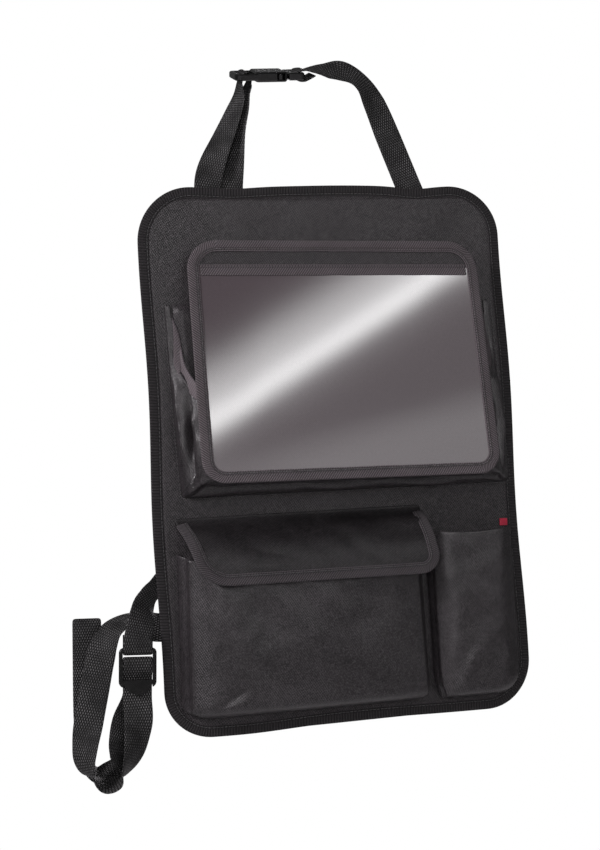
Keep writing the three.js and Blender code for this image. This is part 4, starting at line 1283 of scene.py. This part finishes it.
def lockKeys(places):
    return [(*onLock(y, z), *acrossLock) for y, z in places]


# Places along each fitting, then keys of each strap: a place and the direction of its width
webbing = {"width": 30.0, "thickness": 1.5}
overBar = [(8.4, -9), (8.3, -3), (9.1, 2.6), (13, 4.7), (16.9, 2.6), (17.9, -3), (18.1, -9)]
roundPlug = [(84, 4.2), (76, 5.6), (69.5, 4.2), (68.2, 0), (69.5, -4.2), (76, -5.6), (83, -3), (89, 0.2)]
roundTopBar = [(-4.4, 48), (-4.2, 40), (-3.6, 35), (0, 33.1), (3.6, 35), (4.2, 40), (4.2, 47), (4.6, 53)]
throughLock = [
    (0.6, -12), (1.2, -3), (1, 6.5), (-0.6, 12), (-3.3, 17.5), (-4.2, 24), (-2.9, 28.9),
    (0, 30.3), (2.9, 28.9), (4.3, 24), (4.1, 15), (4.3, 4), (5, -8),
]
strapKeys = {
    "topStrapLeft": [
        (-124.5, 1.35, 262, 1, 0, 0), (-124, 1.4, 274, 1, 0, 0), (-123, 2.2, 290, 1, 0, 0),
        (-116.5, 4.5, 312, 0.93, -0.35, 0), (-101, 8, 345, 0.7, -0.7, -0.1),
        (-88.5, 9, 372, 0.44, -0.85, -0.25), (-83, 7.5, 387, 0.2, -0.91, -0.36),
        *buckleKeys(overBar, -widthAxis),
        (-77.5, 7.5, 387, 0.2, -0.91, -0.36), (-82, 9, 372, 0.44, -0.85, -0.25),
        (-90.5, 9, 345, 0.7, -0.7, -0.1), (-96.5, 7, 312, 0.93, -0.35, 0),
        (-99.3, 5.2, 290, 1, 0, 0), (-99.5, 4.3, 274, 1, 0, 0), (-99.5, 4, 262, 1, 0, 0),
    ],
    "topStrapRight": [
        (107.8, 1.2, 262, 0.94, 0, 0.35), (99.4, 1.2, 285, 0.94, 0, 0.35), (79, 0.5, 341, 0.93, 0.05, 0.36),
        (65.5, 0, 378, 0.86, 0.25, 0.45), (57, 0.5, 396, 0.58, 0.48, 0.66), (46, 1.5, 407.5, 0.2, 0.5, 0.84),
        (31, 2.5, 414, 0.05, 0.42, 0.9), (13, 3, 413.5, 0, 0.66, 0.75),
        *buckleKeys(roundPlug, widthAxis),
    ],
    "lowerStrapShort": [
        (-152, 1.5, -110, 0.2, 0, -0.98), (-164, 1.5, -112, 0.2, 0, -0.98), (-174, 3.4, -115, 0.2, 0.08, -0.97),
        (-184, 8.5, -122, 0.25, 0.33, -0.9), (-194, 12.5, -128, 0.35, 0.5, -0.79),
        (-203, 12, -134, 0.45, 0.68, -0.58), (-210.5, 5.5, -143, 0.66, 0.66, -0.35),
        (-216.5, -3, -154, 0.85, 0.5, -0.12), (-220.5, -8.5, -170, 0.98, 0.15, -0.05),
        *lockKeys(roundTopBar),
    ],
    "lowerStrapLong": [
        (186, 1.2, -150, 0, 0, 1), (160, 1.2, -151, 0, 0, 1), (120, 9, -154, 0, 0, 1), (0, 15, -164, 0, 0, 1),
        (-130, 14, -169, 0, 0, 1), (-200, 12, -171.5, 0, 0, 1), (-229, 10.5, -162, -0.05, 0.9, 0.43),
        (-247, 4.5, -168.5, -0.5, 0.78, 0.36), (-257, 1.5, -184, -0.88, 0.45, 0.12),
        (-262.5, -3.5, -200, -0.99, 0.05, 0.12), (-269, -8, -226, -0.98, 0, 0.15),
        (-276, -10, -254, -0.97, 0.1, 0.12), (-281.5, -12, -279, -0.84, 0.54, 0),
        (-283, -12.5, -296, -0.66, 0.72, 0.14), (-278.5, -13, -310, -0.42, 0.84, 0.3),
        (-265, -13.5, -320.5, 0, 0.9, 0.43), (-250.5, -13.5, -318.5, 0.3, 0.86, 0.4),
        (-242.5, -13, -309, 0.58, 0.76, 0.26),
        (-233.5, -12.5, -292, 0.8, 0.6, 0), (-229, -12, -273, 0.94, 0.33, 0), (-227, -10, -257, 1, 0, 0),
        *lockKeys(throughLock),
        (-230.5, 2.5, -249, 0.97, -0.2, 0), (-239, 8, -266, 0.86, -0.5, 0),
        (-244.5, 12, -288, 0.72, -0.68, -0.1), (-246.5, 13.5, -307, 0.54, -0.78, -0.3),
        (-258, 15.5, -313, 0.24, -0.86, -0.42), (-267.5, 15.5, -316, 0, -0.88, -0.45),
        (-276, 15.5, -309, -0.24, -0.88, -0.38), (-278.5, 15, -294, -0.64, -0.75, -0.16),
        (-277.5, 15, -278, -0.84, -0.54, 0), (-275.5, 17, -252, -0.97, -0.2, 0.02),
        (-273.5, 19, -214, -0.99, 0, 0.03), (-271, 21, -157, -0.99, 0, 0.03),
    ],
}
strapNodes = {
    "topStrapLeft": ("top_strap_left", 200), "topStrapRight": ("top_strap_right", 170),
    "lowerStrapShort": ("lower_strap_short", 150), "lowerStrapLong": ("lower_strap_long", 440),
}


def strapPiece(name, keys, samples):
    centre = Path([key[:3] for key in keys])
    across = Path([key[3:] for key in keys])
    sections = []
    for i in range(samples + 1):
        t = i / samples
        tangent, side = centre.tangent(t), across.at(t)
        side = (side - tangent * side.dot(tangent)).normalized()
        sections.append((centre.at(t), side))
    walk = walkAlong([spot for spot, side in sections])
    half = webbing["width"] / 2 - 0.1

    def place(u, v):
        spot, side = sections[round(v * samples)]
        return spot + side * (mix(-1, 1, u) * half)

    def clothAt(u, v):
        return (u - 0.5) * webbing["width"], walk[round(v * samples)]

    return gridPiece(name, samples, 6, place, clothAt, webbing["thickness"], level=1)


for strapName, keys in strapKeys.items():
    node, samples = strapNodes[strapName]
    dress(strapPiece(strapName, keys, samples), blackWebbing, [node])
note("webbing")


# Moulded fittings keep their solids and take the plastic finish
for node in ("buckle_socket", "buckle_plug", "ladder_lock"):
    fitting = next(piece for piece in bpy.context.scene.objects if piece.get("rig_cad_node") == node)
    fitting.data.materials.clear()
    fitting.data.materials.append(blackPlastic)
note("fittings")


note("cloth facts")


# Studio
studio = {"world": 0.06, "glossy": 0.11, "floor": -0.95, "lightTint": (1.0, 0.95, 0.985)}


def addLight(name, place, target, size, power):
    bpy.ops.object.light_add(type="AREA", location=place)
    light = bpy.context.object
    light.name = name
    light.data.shape = "RECTANGLE"
    light.data.size, light.data.size_y = size
    light.data.energy = power
    light.data.color = studio["lightTint"]
    light.rotation_euler = (Vector(target) - Vector(place)).to_track_quat("-Z", "Y").to_euler()


def addWorld():
    world = bpy.data.worlds.new("studioWorld")
    bpy.context.scene.world = world
    world.use_nodes = True
    graph = Graph(world.node_tree)
    background = world.node_tree.nodes["Background"]
    rays = graph.node("ShaderNodeLightPath").socket.node.outputs
    seen = Field(graph, rays["Is Camera Ray"]) * (1 - studio["world"])
    glossy = Field(graph, rays["Is Glossy Ray"]) * (studio["glossy"] - studio["world"])
    graph.feed(background.inputs["Strength"], glossy + seen + studio["world"])
    background.inputs["Color"].default_value = (1, 1, 1, 1)


def addFloor():
    bpy.ops.mesh.primitive_plane_add(size=9, location=(0, 0, studio["floor"]))
    floor = bpy.context.object
    floor.name = "studioFloor"
    finish = Finish("paleFloor")
    path = finish.node("ShaderNodeLightPath")
    glow = finish.node("ShaderNodeEmission", None, {"Color": (1, 1, 1, 1), "Strength": 1.0})
    finish.set(Base_Color=(0.8, 0.8, 0.8, 1), Roughness=0.9)
    surface = Field(finish, finish.shader.outputs[0])
    mixed = finish.node("ShaderNodeMixShader", None, {0: path, 1: surface, 2: glow})
    finish.feed(finish.tree.nodes["Material Output"].inputs[0], mixed)
    floor.data.materials.append(finish.material)


# A glowing card that only reflections see: the film shows it as a slanting streak
card = {
    "place": (0.4029, -1.3935, 0.5679),
    "across": (-0.9578, -0.2874, 0.0),
    "up": (-0.0917, 0.3056, 0.9477),
    "size": 1.1,
    "streakTurn": (0.431, 0.902),
    "streakAt": -18.6,
    "floorTurn": (0.163, 0.987),
    "floorAt": 130.8,
    "glow": 13.0,
    "streak": [
        (-80, 0.035), (-40, 0.055), (-20, 0.085), (0, 0.36), (14, 0.78), (26, 0.84), (42, 0.64), (60, 0.44),
        (80, 0.37), (100, 0.29), (120, 0.19), (140, 0.1), (160, 0.035), (180, 0.012), (220, 0.0),
    ],
    "floor": [(-130, 0.07), (-60, 0.075), (-14, 0.03), (6, 0.0)],
}


def cardRamp(finish, stops, turn, offset):
    x, y, rest = finish.split(finish.objectPlace())
    low, high = stops[0][0], stops[-1][0]
    along = x * (1000 * turn[0]) + y * (1000 * turn[1]) + offset
    place = (along - low) / (high - low)
    return finish.ramp(place, [((at - low) / (high - low), (tone, tone, tone)) for at, tone in stops])


def addCard():
    bpy.ops.mesh.primitive_plane_add(size=card["size"])
    plane = bpy.context.object
    plane.name = "streakCard"
    across, up = Vector(card["across"]), Vector(card["up"])
    turn = Matrix((across, up, across.cross(up))).transposed().to_4x4()
    plane.matrix_world = Matrix.Translation(card["place"]) @ turn
    for ray in ("camera", "diffuse", "transmission", "shadow"):
        setattr(plane, "visible_" + ray, False)
    finish = Finish("cardGlow")
    streak = cardRamp(finish, card["streak"], card["streakTurn"], card["streakAt"])
    floor = cardRamp(finish, card["floor"], card["floorTurn"], card["floorAt"])
    finish.set(Base_Color=(0, 0, 0, 1), Specular_IOR_Level=0.0, Emission_Color=streak + floor)
    finish.shader.inputs["Emission Strength"].default_value = card["glow"]
    plane.data.materials.append(finish.material)


addWorld()
addFloor()
addLight("keyLight", (-2.4, -1.05, 1.4), (0, 0, 0), (0.6, 0.6), 62)
addLight("sheenLight", (-0.6, -2.2, 0.5), (0, 0, -0.05), (0.45, 1.5), 15)
addLight("fillLight", (1.8, -1.7, 0.2), (0, 0, 0), (1.0, 1.0), 4)
addLight("backLight", (1.0, 2.5, 0.9), (0, 0, 0), (1.4, 1.4), 34)
addCard()
bpy.context.scene.view_settings.view_transform = "Standard"
note("studio")
